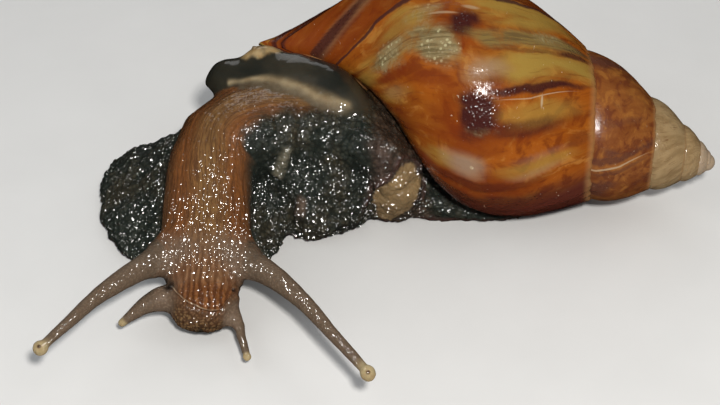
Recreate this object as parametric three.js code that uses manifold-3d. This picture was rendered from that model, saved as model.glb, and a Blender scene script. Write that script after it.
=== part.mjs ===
// A giant African land snail, life size: the body comes out under the shell,
// bends to its left and stretches the neck and head forward, low over the floor.
//
// Millimetres, +Z up. The origin is on the sole, where the foot is flat on the
// floor. The head points to -Y and the tip of the shell to +X. Left and right
// in the names are the animal's own: its left side faces +X.
//
// The shell is a right-handed spiral: one whorl outline, turned about the axis
// and grown at a steady rate. The flesh is made of lofted lengths and mounds,
// flattened on the floor and parted into the animal's named parts by thin cuts.

import * as THREE from 'three';
import { LoftGeometry } from 'three/addons/geometries/LoftGeometry.js';
import { mergeVertices } from 'three/addons/utils/BufferGeometryUtils.js';
import Module from 'manifold-3d';

const wasm = await Module();
wasm.setup();

const degrees = THREE.MathUtils.degToRad;
const mix = THREE.MathUtils.lerp;
const ease = ( from, to, value ) => THREE.MathUtils.smoothstep( value, from, to );

// ---------------------------------------------------------------------------
// Driving dimensions
// ---------------------------------------------------------------------------

const GAP = 0.3; // between neighbouring solids

// Shell. Turns are counted from the crest of the last whorl: negative towards
// the tip, positive towards the lip.
const TIP = new THREE.Vector3( 84.6, 0.1, 10.95 );
const PITCH = degrees( 10.6 ); // the mouth end is carried higher than the tip
const YAW = degrees( 9.0 ); // the mouth end swings away from the head
const ROLL = degrees( 40.8 ); // the crest leans away from the head
const HEIGHT_GROWTH = 1.93; // of each turn against the one before
const RADIUS_GROWTH = 1.61;
const SEAM_HEIGHT = 27.9; // from the tip to the seam, at the crest
const SEAM_DROP = 4.0; // how much lower the seam ends at the lip
const BASE_HEIGHT = 82.0; // from the tip to the base, at the crest
const SHELL_LENGTH = 87.0;
const FIRST_TURN = - 4.4;
const LIP_TURN = 0.2;
const LIP_WALL = 0.9;
const MOUTH_DEPTH = 0.11; // turns
const TIP_RADIUS = 1.75;
const COLUMELLA_RADIUS = 2.4;
const COLUMELLA_HEIGHT = 68.0;

// Whorl outline at the crest: the share of the way from the seam to the base,
// and the radius there.
const WHORL_OUTLINE = [
	[ 0.00, 14.5 ],
	[ 0.08, 17.1 ],
	[ 0.17, 19.6 ],
	[ 0.30, 22.3 ],
	[ 0.46, 23.7 ],
	[ 0.61, 22.3 ],
	[ 0.74, 18.2 ],
	[ 0.85, 11.8 ],
	[ 0.94, 6.2 ],
	[ 1.00, 2.6 ],
];

// Neck and head, from under the shell to the snout: x, y, z, half width and
// half height.
const NECK = [
	[ 22, 4.6, 15.6, 7.4, 7.4 ],
	[ 13, 3.0, 16.2, 8.6, 8.2 ],
	[ 2.5, 2.4, 17.1, 8.9, 8.5 ],
	[ - 4.8, - 1.4, 16.0, 8.3, 8.0 ],
	[ - 6.9, - 8.4, 12.8, 7.8, 7.2 ],
	[ - 7.0, - 16.0, 9.8, 7.9, 6.2 ],
	[ - 7.0, - 22.6, 8.0, 7.9, 5.3 ],
	[ - 7.0, - 27.8, 7.0, 6.8, 4.8 ],
	[ - 7.1, - 32.0, 6.2, 5.9, 4.2 ],
	[ - 7.2, - 34.8, 5.4, 4.2, 2.8 ],
];
const LIPS = { centre: [ - 7.2, - 33.6, 4.6 ], radii: [ 5.2, 3.2, 2.9 ] };

// The dark bulge of the mantle over the neck, and its pale edge.
const FOLD = [
	[ - 5.8, 10.2, 19.6, 2.8, 3.2 ],
	[ - 4.4, 10.6, 22.2, 4.0, 4.2 ],
	[ 1.0, 8.8, 22.8, 4.6, 4.4 ],
	[ 8.4, 8.8, 24.2, 5.0, 4.6 ],
	[ 14.4, 6.0, 23.8, 4.8, 4.4 ],
	[ 19.0, 1.8, 22.0, 3.8, 3.8 ],
	[ 21.4, - 0.8, 20.2, 2.2, 2.2 ],
];
const MANTLE_EDGE = [
	[ - 3.4, 4.6, 22.8, 0.9, 0.9 ],
	[ 1.6, 4.6, 24.2, 1.9, 1.7 ],
	[ 9.3, 3.8, 24.2, 2.5, 2.0 ],
	[ 15.5, 1.2, 23.2, 2.5, 2.1 ],
	[ 18.8, - 1.0, 21.8, 1.4, 1.3 ],
];
const COLLAR_REACH = 0.022; // turns that the collar stands out of the mouth

// The foot. Each level is its height and its closed outline, in x and y.
const FRONT_FOOT = [
	[ 0, [
		[ - 7, - 19.4 ], [ 1, - 16.8 ], [ 4.2, - 14 ], [ 6.6, - 9.6 ], [ 6.8, - 5 ],
		[ 8, 4 ], [ 5, 18 ], [ - 4, 24 ], [ - 12, 20 ], [ - 20, 16.5 ],
		[ - 26.4, 13 ], [ - 28.2, 4 ], [ - 25.8, - 6.4 ], [ - 21, - 14.8 ], [ - 14, - 17.2 ],
	] ],
	[ 1.8, [
		[ - 7, - 19.8 ], [ 1.2, - 17.2 ], [ 4.8, - 14.2 ], [ 7.1, - 9.6 ], [ 7.1, - 5 ],
		[ 8, 4 ], [ 5, 18 ], [ - 4, 24.2 ], [ - 12, 20.4 ], [ - 20, 17 ],
		[ - 27, 13.2 ], [ - 28.8, 4 ], [ - 26.4, - 6.6 ], [ - 21.4, - 15.2 ], [ - 14, - 17.6 ],
	] ],
	[ 4.6, [
		[ - 7, - 16 ], [ 0.4, - 14 ], [ 3.4, - 10.6 ], [ 5.4, - 7.6 ], [ 5.8, - 4 ],
		[ 7, 4 ], [ 4, 14 ], [ - 4, 20 ], [ - 13, 17.6 ], [ - 20.2, 13.6 ],
		[ - 24.4, 9 ], [ - 25.4, 1 ], [ - 23, - 6.6 ], [ - 18.6, - 12.6 ], [ - 13, - 15.2 ],
	] ],
	[ 9.4, [
		[ - 7, - 12 ], [ - 2, - 10.6 ], [ 1.4, - 8.4 ], [ 3, - 5.4 ], [ 3.4, - 2 ],
		[ 4, 4 ], [ 2, 11 ], [ - 3, 15 ], [ - 10, 13.6 ], [ - 15.4, 9.6 ],
		[ - 17.6, 5 ], [ - 18, 0 ], [ - 17, - 5 ], [ - 15.2, - 9.2 ], [ - 12, - 11.4 ],
	] ],
	[ 14, [
		[ - 7, - 8.6 ], [ - 4, - 8.2 ], [ - 1, - 6.8 ], [ 0.4, - 4.8 ], [ 1, - 2 ],
		[ 1.6, 4 ], [ 0, 9 ], [ - 4, 11.4 ], [ - 8.6, 9.6 ], [ - 11.6, 6.6 ],
		[ - 13, 3 ], [ - 13.4, - 1 ], [ - 13, - 4.2 ], [ - 12, - 7 ], [ - 9.6, - 8.4 ],
	] ],
];
const BODY = [
	[ 0, [
		[ 7, - 7.2 ], [ 11, - 8.4 ], [ 16, - 6 ], [ 20, - 3.2 ], [ 26, - 3.4 ], [ 32, - 1 ], [ 40, 4 ],
		[ 42, 14 ], [ 34, 25 ], [ 22, 30 ], [ 8, 28.6 ], [ - 6, 23 ], [ - 8, 12 ], [ 2, 0 ],
	] ],
	[ 3, [
		[ 7, - 7.8 ], [ 11.4, - 9.2 ], [ 17, - 7 ], [ 21.4, - 4.4 ], [ 26, - 3.6 ], [ 32, - 1 ], [ 40, 4 ],
		[ 42, 14 ], [ 34, 25 ], [ 22, 30 ], [ 8, 28.6 ], [ - 6, 23 ], [ - 8, 12 ], [ 2, 0 ],
	] ],
	[ 11, [
		[ 6.4, - 6.6 ], [ 11, - 8.6 ], [ 16.6, - 8.8 ], [ 22, - 7 ], [ 27, - 3.5 ], [ 30, 2 ], [ 34, 6 ],
		[ 34, 14 ], [ 30, 21 ], [ 20, 26 ], [ 8, 25 ], [ - 4, 20 ], [ - 6, 12 ], [ 0, 1 ],
	] ],
	[ 18, [
		[ 6, - 3.4 ], [ 10.6, - 5.8 ], [ 16, - 7.2 ], [ 22, - 6.6 ], [ 26, - 3.6 ], [ 27, 2 ], [ 28, 6 ],
		[ 27, 12 ], [ 24, 17 ], [ 16, 20 ], [ 8, 20 ], [ - 2, 17 ], [ - 4, 11 ], [ 0, 2 ],
	] ],
	[ 23.6, [
		[ 8, - 0.4 ], [ 12, - 1.8 ], [ 16, - 2.8 ], [ 20, - 2.8 ], [ 22, - 1 ], [ 22, 3 ], [ 21, 6 ],
		[ 20, 9 ], [ 17, 12 ], [ 12, 14 ], [ 8, 14 ], [ 3, 13 ], [ 1.4, 9 ], [ 3.4, 3 ],
	] ],
];
const REAR_RIDGE = [
	[ 10, - 0.5, 17.4, 5.4, 5.0 ],
	[ 18, - 2.6, 18.2, 5.6, 5.2 ],
	[ 24.4, - 4.6, 16.8, 5.2, 5.0 ],
	[ 27.4, - 5.0, 12.6, 4.4, 4.4 ],
];
const REAR_LOBE = { centre: [ 26.9, - 3.0, 8.6 ], radii: [ 4.7, 4.4, 9.2 ], turn: - 8, tip: 14 };
const TAIL = [
	[ 18, 5.0, 2.6, 6.4, 4.2 ],
	[ 30, 1.6, 2.2, 5.4, 3.7 ],
	[ 38, - 0.2, 1.7, 4.2, 3.0 ],
	[ 45, - 1.4, 1.1, 2.8, 2.1 ],
	[ 50, - 1.8, 0.5, 1.1, 1.0 ],
];

// Where the flesh is parted: a plane's normal, and its distance from the origin.
const TRUNK_FROM_NECK = [[ 1, 0, 0 ], 3 ];
const NECK_FROM_HEAD = [[ 0, 1, 0 ], - 20.5 ];
const HEAD_FROM_SNOUT = [[ 0, 1, 0 ], - 31.4 ];
const FLANKS_FROM_FRONT = [[ 0.904, 0.428, 0 ], 3.94 ];
const LEFT_FROM_RIGHT_FRONT = [[ 1, 0, 0 ], - 7 ];
const RIGHT_FROM_LEFT_FLANK = [[ 0, 1, 0 ], 9 ];
const REAR_FROM_FLANK = [[ 1, 0, 0 ], 22.4 ];
const TAIL_FROM_REAR = [[ 0.94, 0.34, 0 ], 29.4 ];

// Feelers: points along each, and the radius at those points.
const UPPER_FEELERS = {
	right: [
		[ - 9, - 23, 9 ], [ - 16.4, - 27.2, 10.6 ], [ - 23.2, - 35, 11.6 ],
		[ - 28, - 42.6, 12 ], [ - 32.1, - 48.9, 12 ],
	],
	left: [
		[ - 4.6, - 23, 9 ], [ 3.4, - 28.2, 10.4 ], [ 10, - 36.6, 11.4 ],
		[ 15.6, - 46, 12 ], [ 21.3, - 54.8, 12 ],
	],
};
const UPPER_RADII = [ 3.0, 2.15, 1.5, 1.1, 0.95 ];
const BULB_RADIUS = 1.38;
const LOWER_FEELERS = {
	right: [ [ - 9, - 30, 5.2 ], [ - 13.6, - 31.0, 5.0 ], [ - 17, - 32.8, 4.4 ], [ - 20.7, - 34.5, 4.0 ] ],
	left: [ [ - 5, - 31, 5.0 ], [ - 1.6, - 33.6, 4.6 ], [ - 0.2, - 37.4, 3.6 ], [ 1.0, - 41.8, 3.0 ] ],
};
const LOWER_RADII = [ 2.3, 1.5, 0.85, 0.62 ];
const LOWER_TIP_RADIUS = 0.75;
const EYE_RADIUS = 0.45;
const EYE_GAP = 0.12;
const EYE_HEADING = new THREE.Vector3( 0, - 0.55, 0.83 ); // where each eye looks out of its bulb

// ---------------------------------------------------------------------------
// Solids: manifold-3d joins and cuts what three.js shapes
// ---------------------------------------------------------------------------

function solidOf( geometry, matrix = new THREE.Matrix4() ) {

	const bare = new THREE.BufferGeometry();
	bare.setAttribute( 'position', geometry.toNonIndexed().getAttribute( 'position' ) );
	bare.applyMatrix4( matrix );
	const merged = mergeVertices( bare, 1e-4 );
	const corners = merged.index.array;
	const faces = [];
	for ( let i = 0; i < corners.length; i += 3 ) {

		const [ a, b, c ] = [ corners[ i ], corners[ i + 1 ], corners[ i + 2 ] ];
		if ( a !== b && b !== c && a !== c ) faces.push( a, b, c );

	}

	return new wasm.Manifold( new wasm.Mesh( {
		numProp: 3,
		vertProperties: merged.getAttribute( 'position' ).array,
		triVerts: new Uint32Array( faces ),
	} ) );

}

const joined = ( solids ) => solids.reduce( ( whole, next ) => whole.add( next ) );
const cutBy = ( solid, keepOuts ) => keepOuts.reduce( ( rest, next ) => rest.subtract( next ), solid );

// A solid's two parts, past a plane and before it, with the gap between them.
function parted( solid, [ normal, offset ] ) {

	const back = normal.map( ( value ) => - value );
	return [
		solid.trimByPlane( normal, offset + GAP / 2 ),
		solid.trimByPlane( back, GAP / 2 - offset ),
	];

}

// An ellipsoid, turned about Z and then tipped about X.
function lobe( centre, radii, turn = 0, tip = 0, sides = 16 ) {

	const ball = new THREE.SphereGeometry( 1, sides, Math.round( sides * 0.55 ) );
	const rotation = new THREE.Euler( degrees( tip ), 0, degrees( turn ), 'ZXY' );
	return solidOf( ball, new THREE.Matrix4().compose(
		new THREE.Vector3( ...centre ),
		new THREE.Quaternion().setFromEuler( rotation ),
		new THREE.Vector3( ...radii )
	) );

}

// A tube of flesh with an oval section, through stations of x, y, z, half width
// and half height. grow widens it all round.
function tube( stations, sides, steps, grow = 0 ) {

	const path = new THREE.CatmullRomCurve3( stations.map( ( [ x, y, z ] ) => new THREE.Vector3( x, y, z ) ) );
	const sizes = new THREE.SplineCurve(
		stations.map( ( [ , , , wide, high ] ) => new THREE.Vector2( wide, high ) ) );
	const sections = [];
	for ( let i = 0; i <= steps; i ++ ) {

		const share = i / steps;
		const centre = path.getPoint( share );
		const along = path.getTangent( share );
		const side = new THREE.Vector3( 0, 0, 1 ).cross( along ).normalize();
		const up = new THREE.Vector3().crossVectors( along, side );
		const size = sizes.getPoint( share );
		const section = [];
		for ( let j = 0; j < sides; j ++ ) {

			const angle = j / sides * 2 * Math.PI;
			section.push( centre.clone()
				.addScaledVector( side, Math.cos( angle ) * ( size.x + grow ) )
				.addScaledVector( up, Math.sin( angle ) * ( size.y + grow ) ) );

		}

		sections.push( section );

	}

	return solidOf( new LoftGeometry( sections, { capStart: true, capEnd: true } ) );

}

// A mound of flesh, from the outline of its lowest level to that of its highest.
function mound( levels, sides, steps ) {

	const rings = levels.map( ( [ height, outline ] ) => new THREE.CatmullRomCurve3(
		outline.map( ( [ x, y ] ) => new THREE.Vector3( x, y, height ) ), true ) );
	const ribs = [];
	for ( let j = 0; j < sides; j ++ ) {

		ribs.push( new THREE.CatmullRomCurve3( rings.map( ( ring ) => ring.getPoint( j / sides ) ) ) );

	}

	const sections = [];
	for ( let i = 0; i <= steps; i ++ ) sections.push( ribs.map( ( rib ) => rib.getPoint( i / steps ) ) );
	return solidOf( new LoftGeometry( sections, { capStart: true, capEnd: true } ) );

}

function meshOf( solid, name, material ) {

	const made = solid.getMesh();
	const places = new Float32Array( made.numVert * 3 );
	for ( let i = 0; i < made.numVert; i ++ ) {

		const from = i * made.numProp;
		places.set( made.vertProperties.subarray( from, from + 3 ), i * 3 );

	}

	const geometry = new THREE.BufferGeometry();
	geometry.setAttribute( 'position', new THREE.BufferAttribute( places, 3 ) );
	geometry.setIndex( new THREE.BufferAttribute( made.triVerts, 1 ) );
	const flat = geometry.toNonIndexed();
	flat.computeVertexNormals();
	const mesh = new THREE.Mesh( flat, material );
	mesh.name = name;
	return mesh;

}

// ---------------------------------------------------------------------------
// Shell
// ---------------------------------------------------------------------------

const axis = new THREE.Vector3(
	- Math.cos( PITCH ) * Math.cos( YAW ),
	Math.cos( PITCH ) * Math.sin( YAW ),
	Math.sin( PITCH )
);
const up = new THREE.Vector3( 0, 0, 1 ).addScaledVector( axis, - axis.z ).normalize();
const crest = up.clone().applyAxisAngle( axis, ROLL );
const pastCrest = new THREE.Vector3().crossVectors( axis, crest );
const shellMatrix = new THREE.Matrix4().makeBasis( crest, pastCrest, axis ).setPosition( TIP );

const outline = new THREE.SplineCurve(
	WHORL_OUTLINE.map( ( [ share, radius ] ) => new THREE.Vector2( share, radius ) ) );
const seamHeight = ( turn ) => SEAM_HEIGHT * HEIGHT_GROWTH ** turn + SEAM_DROP * ease( 0, LIP_TURN, turn );
const baseHeight = ( turn ) => turn < 0
	? BASE_HEIGHT * HEIGHT_GROWTH ** turn
	: mix( BASE_HEIGHT, SHELL_LENGTH, ease( 0, LIP_TURN, turn ) );

// One closed section of a whorl, in the half plane at that turn's angle. Only
// the first part of the outline is used, up to reach; inset draws it in.
function whorlSection( turn, points, reach, inset, core ) {

	const scale = RADIUS_GROWTH ** turn;
	const angle = turn * 2 * Math.PI;
	const place = ( height, radius ) =>
		new THREE.Vector3( radius * Math.cos( angle ), radius * Math.sin( angle ), height );
	const low = seamHeight( turn ) + inset;
	const high = baseHeight( turn ) - inset;
	const section = [ place( mix( low, high, reach ), core ) ];
	for ( let i = points; i >= 0; i -- ) {

		const spot = outline.getPoint( reach * i / points );
		section.push( place( mix( low, high, spot.x ), Math.max( spot.y * scale - inset, core + 0.05 * scale ) ) );

	}

	section.push( place( low, core ) );
	return section;

}

function whorl( turns, points, reach, inset = 0, core = 0.1 ) {

	const sections = turns.map( ( turn ) => whorlSection( turn, points, reach, inset, core ) );
	return solidOf( new LoftGeometry( sections, { capStart: true, capEnd: true } ), shellMatrix );

}

const turnsBetween = ( from, to, steps ) =>
	Array.from( { length: steps + 1 }, ( _, i ) => mix( from, to, i / steps ) );

// A run of turns in short lengths, each one step into the next.
function windings( turns, points, reach, inset ) {

	const lengths = [];
	for ( let i = 0; i < turns.length - 1; i += 6 ) {

		lengths.push( whorl( turns.slice( i, i + 8 ), points, reach, inset ) );

	}

	return joined( lengths );

}

// What fills the mouth, between two turns.
const mouthPlug = ( inset, fromTurn, toTurn, core ) =>
	whorl( turnsBetween( fromTurn, toTurn, 4 ), 10, 1, inset, core );

// grow widens the whole shell, to make the space the flesh keeps out of.
function shellSolid( grow = 0 ) {

	const spireTurns = turnsBetween( FIRST_TURN, - 0.7, 51 );
	const lastTurns = turnsBetween( - 0.75, LIP_TURN + grow * 0.007, 23 );
	const walls = windings( spireTurns, 5, 0.6, - grow ).add( windings( lastTurns, 10, 1, - grow ) );
	const mouth = mouthPlug( LIP_WALL + grow, LIP_TURN - MOUTH_DEPTH, LIP_TURN + 0.03, COLUMELLA_RADIUS + grow );
	const columella = new THREE.LatheGeometry( [
		[ 0, 1 ],
		[ TIP_RADIUS * 0.5 + grow, 2 ],
		[ COLUMELLA_RADIUS + grow + 0.05, COLUMELLA_HEIGHT * 0.5 ],
		[ COLUMELLA_RADIUS + grow + 0.05, COLUMELLA_HEIGHT ],
		[ COLUMELLA_RADIUS * 0.5 + grow, SHELL_LENGTH - 6 ],
		[ 0, SHELL_LENGTH - 5 + grow ],
	].map( ( [ radius, height ] ) => new THREE.Vector2( radius, height ) ), 14 );
	const tipBall = new THREE.SphereGeometry( TIP_RADIUS + grow, 12, 8 );
	const upright = new THREE.Matrix4().makeRotationX( Math.PI / 2 );
	const atTip = new THREE.Matrix4().makeTranslation( 0, 0, TIP_RADIUS );
	return walls.subtract( mouth )
		.add( solidOf( columella, shellMatrix.clone().multiply( upright ) ) )
		.add( solidOf( tipBall, shellMatrix.clone().multiply( atTip ) ) );

}

const onFloor = ( solid ) => solid.trimByPlane( [ 0, 0, 1 ], 0 );
const shell = onFloor( shellSolid() );
const shellSpace = shellSolid( GAP );

// ---------------------------------------------------------------------------
// Flesh
// ---------------------------------------------------------------------------

// Each of these is made twice: as it is, and grown by the gap, to be the space
// that the flesh around it keeps out of.
const neckTube = ( grow ) => tube( NECK, 18, 18, grow )
	.add( lobe( LIPS.centre, LIPS.radii.map( ( radius ) => radius + grow ) ) );
const edgeTube = ( grow ) => tube( MANTLE_EDGE, 8, 8, grow );
const foldTube = ( grow ) => tube( FOLD, 12, 12, grow );
const neckSpace = neckTube( GAP );
const edgeSpace = edgeTube( GAP );
const foldSpace = foldTube( GAP );
const collarPlug = mouthPlug( 0.5, LIP_TURN - 0.085, LIP_TURN + COLLAR_REACH, COLUMELLA_RADIUS + 2 * GAP );
const collarSpace = mouthPlug( 0.5 - GAP, LIP_TURN - 0.14, LIP_TURN + COLLAR_REACH + GAP * 0.007, 0.1 );

const collar = cutBy( collarPlug, [ shellSpace, neckSpace, edgeSpace ] );
const fold = cutBy( foldTube( 0 ), [ shellSpace, neckSpace, edgeSpace, collarSpace ] );
const edge = cutBy( edgeTube( 0 ), [ shellSpace, neckSpace ] );
const neckLength = neckTube( 0 ).subtract( shellSpace );

const foot = onFloor( cutBy(
	joined( [
		mound( FRONT_FOOT, 30, 6 ),
		mound( BODY, 28, 7 ),
		tube( REAR_RIDGE, 12, 6 ),
		lobe( REAR_LOBE.centre, REAR_LOBE.radii, REAR_LOBE.turn, REAR_LOBE.tip ),
		tube( TAIL, 12, 8 ),
	] ),
	[ shellSpace, neckSpace, collarSpace, foldSpace, edgeSpace ]
) );

// ---------------------------------------------------------------------------
// Feelers and eyes
// ---------------------------------------------------------------------------

const unitHeading = EYE_HEADING.clone().normalize();

function feeler( points, radii, tipRadius, steps ) {

	const stations = points.map( ( [ x, y, z ], i ) => [ x, y, z, radii[ i ], radii[ i ] ] );
	const tip = points[ points.length - 1 ];
	return tube( stations, 8, steps ).add( lobe( tip, [ tipRadius, tipRadius, tipRadius ], 0, 0, 10 ) )
		.subtract( neckSpace );

}

function eye( points, grow = 0 ) {

	const tip = new THREE.Vector3( ...points[ points.length - 1 ] );
	const radius = EYE_RADIUS + grow;
	const centre = tip.addScaledVector( unitHeading, BULB_RADIUS - EYE_RADIUS * 0.6 );
	return lobe( centre.toArray(), [ radius, radius, radius ], 0, 0, 8 );

}

// ---------------------------------------------------------------------------
// The named parts
// ---------------------------------------------------------------------------

const finish = ( color, roughness ) => new THREE.MeshStandardMaterial( { color, roughness, metalness: 0 } );
const amberShell = finish( 0xa8672c, 0.3 );
const darkSkin = finish( 0x2c2f2a, 0.35 );
const brownSkin = finish( 0x7d5836, 0.4 );
const greySkin = finish( 0x8a7560, 0.4 );
const darkMantle = finish( 0x3b3a33, 0.25 );
const paleMantle = finish( 0xb59a6f, 0.3 );
const paleSole = finish( 0x9a8a68, 0.4 );
const eyeBlack = finish( 0x17130f, 0.15 );

const snail = new THREE.Group();
snail.name = 'giant_african_land_snail';

// Cuts can leave a crumb beside the part itself, so the largest body is kept.
function addPart( name, solid, material ) {

	const [ body ] = solid.decompose().sort( ( a, b ) => b.volume() - a.volume() );
	snail.add( meshOf( body, name, material.clone() ) );

}

addPart( 'shell', shell, amberShell );
addPart( 'mantle_collar', collar, darkMantle );
addPart( 'mantle_fold', fold, darkMantle );
addPart( 'mantle_edge', edge, paleMantle );

const [ trunk, neckAndHead ] = parted( neckLength, TRUNK_FROM_NECK );
const [ neck, wholeHead ] = parted( neckAndHead, NECK_FROM_HEAD );
const [ head, snout ] = parted( wholeHead, HEAD_FROM_SNOUT );
addPart( 'trunk', trunk, darkSkin );
addPart( 'neck', neck, brownSkin );
addPart( 'head', head, brownSkin );
addPart( 'snout', snout, greySkin );

const [ flanks, frontFoot ] = parted( foot, FLANKS_FROM_FRONT );
const [ frontLeft, frontRight ] = parted( frontFoot, LEFT_FROM_RIGHT_FRONT );
const [ tail, flanksAndRear ] = parted( flanks, TAIL_FROM_REAR );
const [ rightFlank, leftSide ] = parted( flanksAndRear, RIGHT_FROM_LEFT_FLANK );
const [ rearLobe, leftFlank ] = parted( leftSide, REAR_FROM_FLANK );
addPart( 'front_foot_left', frontLeft, darkSkin );
addPart( 'front_foot_right', frontRight, darkSkin );
addPart( 'flank_left', leftFlank, darkSkin );
addPart( 'flank_right', rightFlank, darkSkin );
addPart( 'rear_lobe', rearLobe, paleSole );
addPart( 'tail', tail, darkSkin );

for ( const side of [ 'left', 'right' ] ) {

	const upper = UPPER_FEELERS[ side ];
	const stalk = feeler( upper, UPPER_RADII, BULB_RADIUS, 10 ).subtract( eye( upper, EYE_GAP ) );
	addPart( `upper_feeler_${side}`, stalk, greySkin );
	addPart( `eye_${side}`, eye( upper ), eyeBlack );
	const lowerFeeler = feeler( LOWER_FEELERS[ side ], LOWER_RADII, LOWER_TIP_RADIUS, 6 );
	addPart( `lower_feeler_${side}`, lowerFeeler, greySkin );

}

export default snail;
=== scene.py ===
# %% [markdown]
# # A giant African land snail, life size
#
# The animal has two very different surfaces. Its shell is a hard, glossy
# spiral that only ever grows at its lip, and its body is one soft, wet skin.
# So the shell is grown here, section by section, and the body is modelled as
# flesh that is joined, smoothed and then given its wrinkles and grains.
#
# The frame from CAD holds the sizes: it is loaded first, and every piece is
# made where it says.

import math
from functools import partialmethod

import bmesh
import bpy
import numpy as np
from mathutils import Matrix, Vector, noise
from mathutils.bvhtree import BVHTree


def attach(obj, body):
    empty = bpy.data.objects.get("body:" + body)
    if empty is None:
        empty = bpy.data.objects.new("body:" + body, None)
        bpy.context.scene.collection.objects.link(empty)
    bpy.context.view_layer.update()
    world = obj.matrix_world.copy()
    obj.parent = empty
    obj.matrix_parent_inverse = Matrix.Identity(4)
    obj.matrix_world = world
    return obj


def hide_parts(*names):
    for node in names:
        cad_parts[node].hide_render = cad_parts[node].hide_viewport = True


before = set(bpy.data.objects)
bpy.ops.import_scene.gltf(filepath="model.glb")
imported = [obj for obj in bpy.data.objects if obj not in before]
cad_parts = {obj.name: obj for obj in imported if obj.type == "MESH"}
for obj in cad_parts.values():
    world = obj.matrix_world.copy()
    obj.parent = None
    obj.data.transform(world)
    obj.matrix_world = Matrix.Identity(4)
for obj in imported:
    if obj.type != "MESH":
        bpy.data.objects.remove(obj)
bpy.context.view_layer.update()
MM = 0.001

# %% [markdown]
# ## Camera
#
# A long lens keeps a small animal in proportion: a short one, this near,
# would swell the head. The camera looks down at 40 degrees, straight along
# +Y, and the top of the shell runs out of its frame.

# %% Camera
CAMERA_AIM = Vector((20, -12, 12)) * MM
CAMERA_RISE = math.radians(40)
CAMERA_DISTANCE = 354 * MM
FOCAL_LENGTH, SENSOR_WIDTH = 100, 36

lens = bpy.data.cameras.new("camera")
lens.lens, lens.sensor_width = FOCAL_LENGTH, SENSOR_WIDTH
lens.clip_start = 10 * MM
camera = bpy.data.objects.new("camera", lens)
sight = Vector((0, math.cos(CAMERA_RISE), -math.sin(CAMERA_RISE)))
camera.location = CAMERA_AIM - CAMERA_DISTANCE * sight
camera.rotation_euler = (math.pi / 2 - CAMERA_RISE, 0, 0)
bpy.context.scene.collection.objects.link(camera)
bpy.context.scene.camera = camera
print("camera at, mm:", [round(v / MM) for v in camera.location])

# %% [markdown]
# ## Floor and light
#
# Wet skin and a polished shell are mostly seen by what they mirror. A small
# lamp close to the camera puts pinpricks of light on the grains, and big soft
# panels fill the shade, so that nothing is lost in black.

# %% Floor and light
FLOOR_HALF_WIDTH = 1.5  # in metres
# The way a wet film has to face to throw the key lamp into the lens: for the
# whole animal, and more exactly for the film over its mouth.
TO_LAMP = np.array([0.09, -0.71, 0.7])
TO_LAMP /= np.linalg.norm(TO_LAMP)
TO_LAMP_FROM_MOUTH = (0.116, -0.691, 0.714)

world = bpy.data.worlds.new("studio")
world.use_nodes = True
backdrop = world.node_tree.nodes["Background"]
backdrop.inputs["Color"].default_value = (0.86, 0.9, 0.95, 1)
backdrop.inputs["Strength"].default_value = 0.19
bpy.context.scene.world = world
world.cycles_visibility.glossy = False  # it fills the shade, but lays no haze on what is wet
bpy.context.scene.view_settings.view_transform = "Standard"


def lamp(name, place, aim, size, watts, colour=(1, 1, 1), mirrored=True):
    """A round panel of light at place, in mm, that faces aim."""
    panel = bpy.data.lights.new(name, "AREA")
    panel.shape = "DISK"
    panel.size = size * MM
    panel.energy = watts
    panel.color = colour
    holder = bpy.data.objects.new(name, panel)
    holder.location = Vector(place) * MM
    facing = (Vector(aim) - Vector(place)).to_track_quat("-Z", "Y")
    holder.rotation_euler = facing.to_euler()
    holder.visible_glossy = mirrored
    bpy.context.scene.collection.objects.link(holder)


MIDDLE = (20, 0, 15)
lamp("key", (62, -330, 345), MIDDLE, 42, 2.0, (1, 0.97, 0.93))
lamp("left_panel", (-420, -120, 380), MIDDLE, 600, 0.9, (0.96, 0.98, 1), mirrored=False)
lamp("right_panel", (460, 60, 420), MIDDLE, 600, 0.5, (1, 0.98, 0.95), mirrored=False)
lamp("back_panel", (-40, 480, 360), MIDDLE, 360, 0.4)

floor_shape = bmesh.new()
bmesh.ops.create_grid(floor_shape, x_segments=8, y_segments=8, size=FLOOR_HALF_WIDTH)
floor_mesh = bpy.data.meshes.new("floor")
floor_shape.to_mesh(floor_mesh)
floor_shape.free()
floor = bpy.data.objects.new("floor", floor_mesh)
bpy.context.scene.collection.objects.link(floor)
floor.visible_glossy = False  # a wet or glossy thing on white would only mirror white

# %% [markdown]
# ## Helpers for materials
#
# A material here is a small net of nodes. These helpers add a node, plug
# sockets or plain values into it, and hand back its output, so that a finish
# reads from top to bottom like a recipe.

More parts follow.
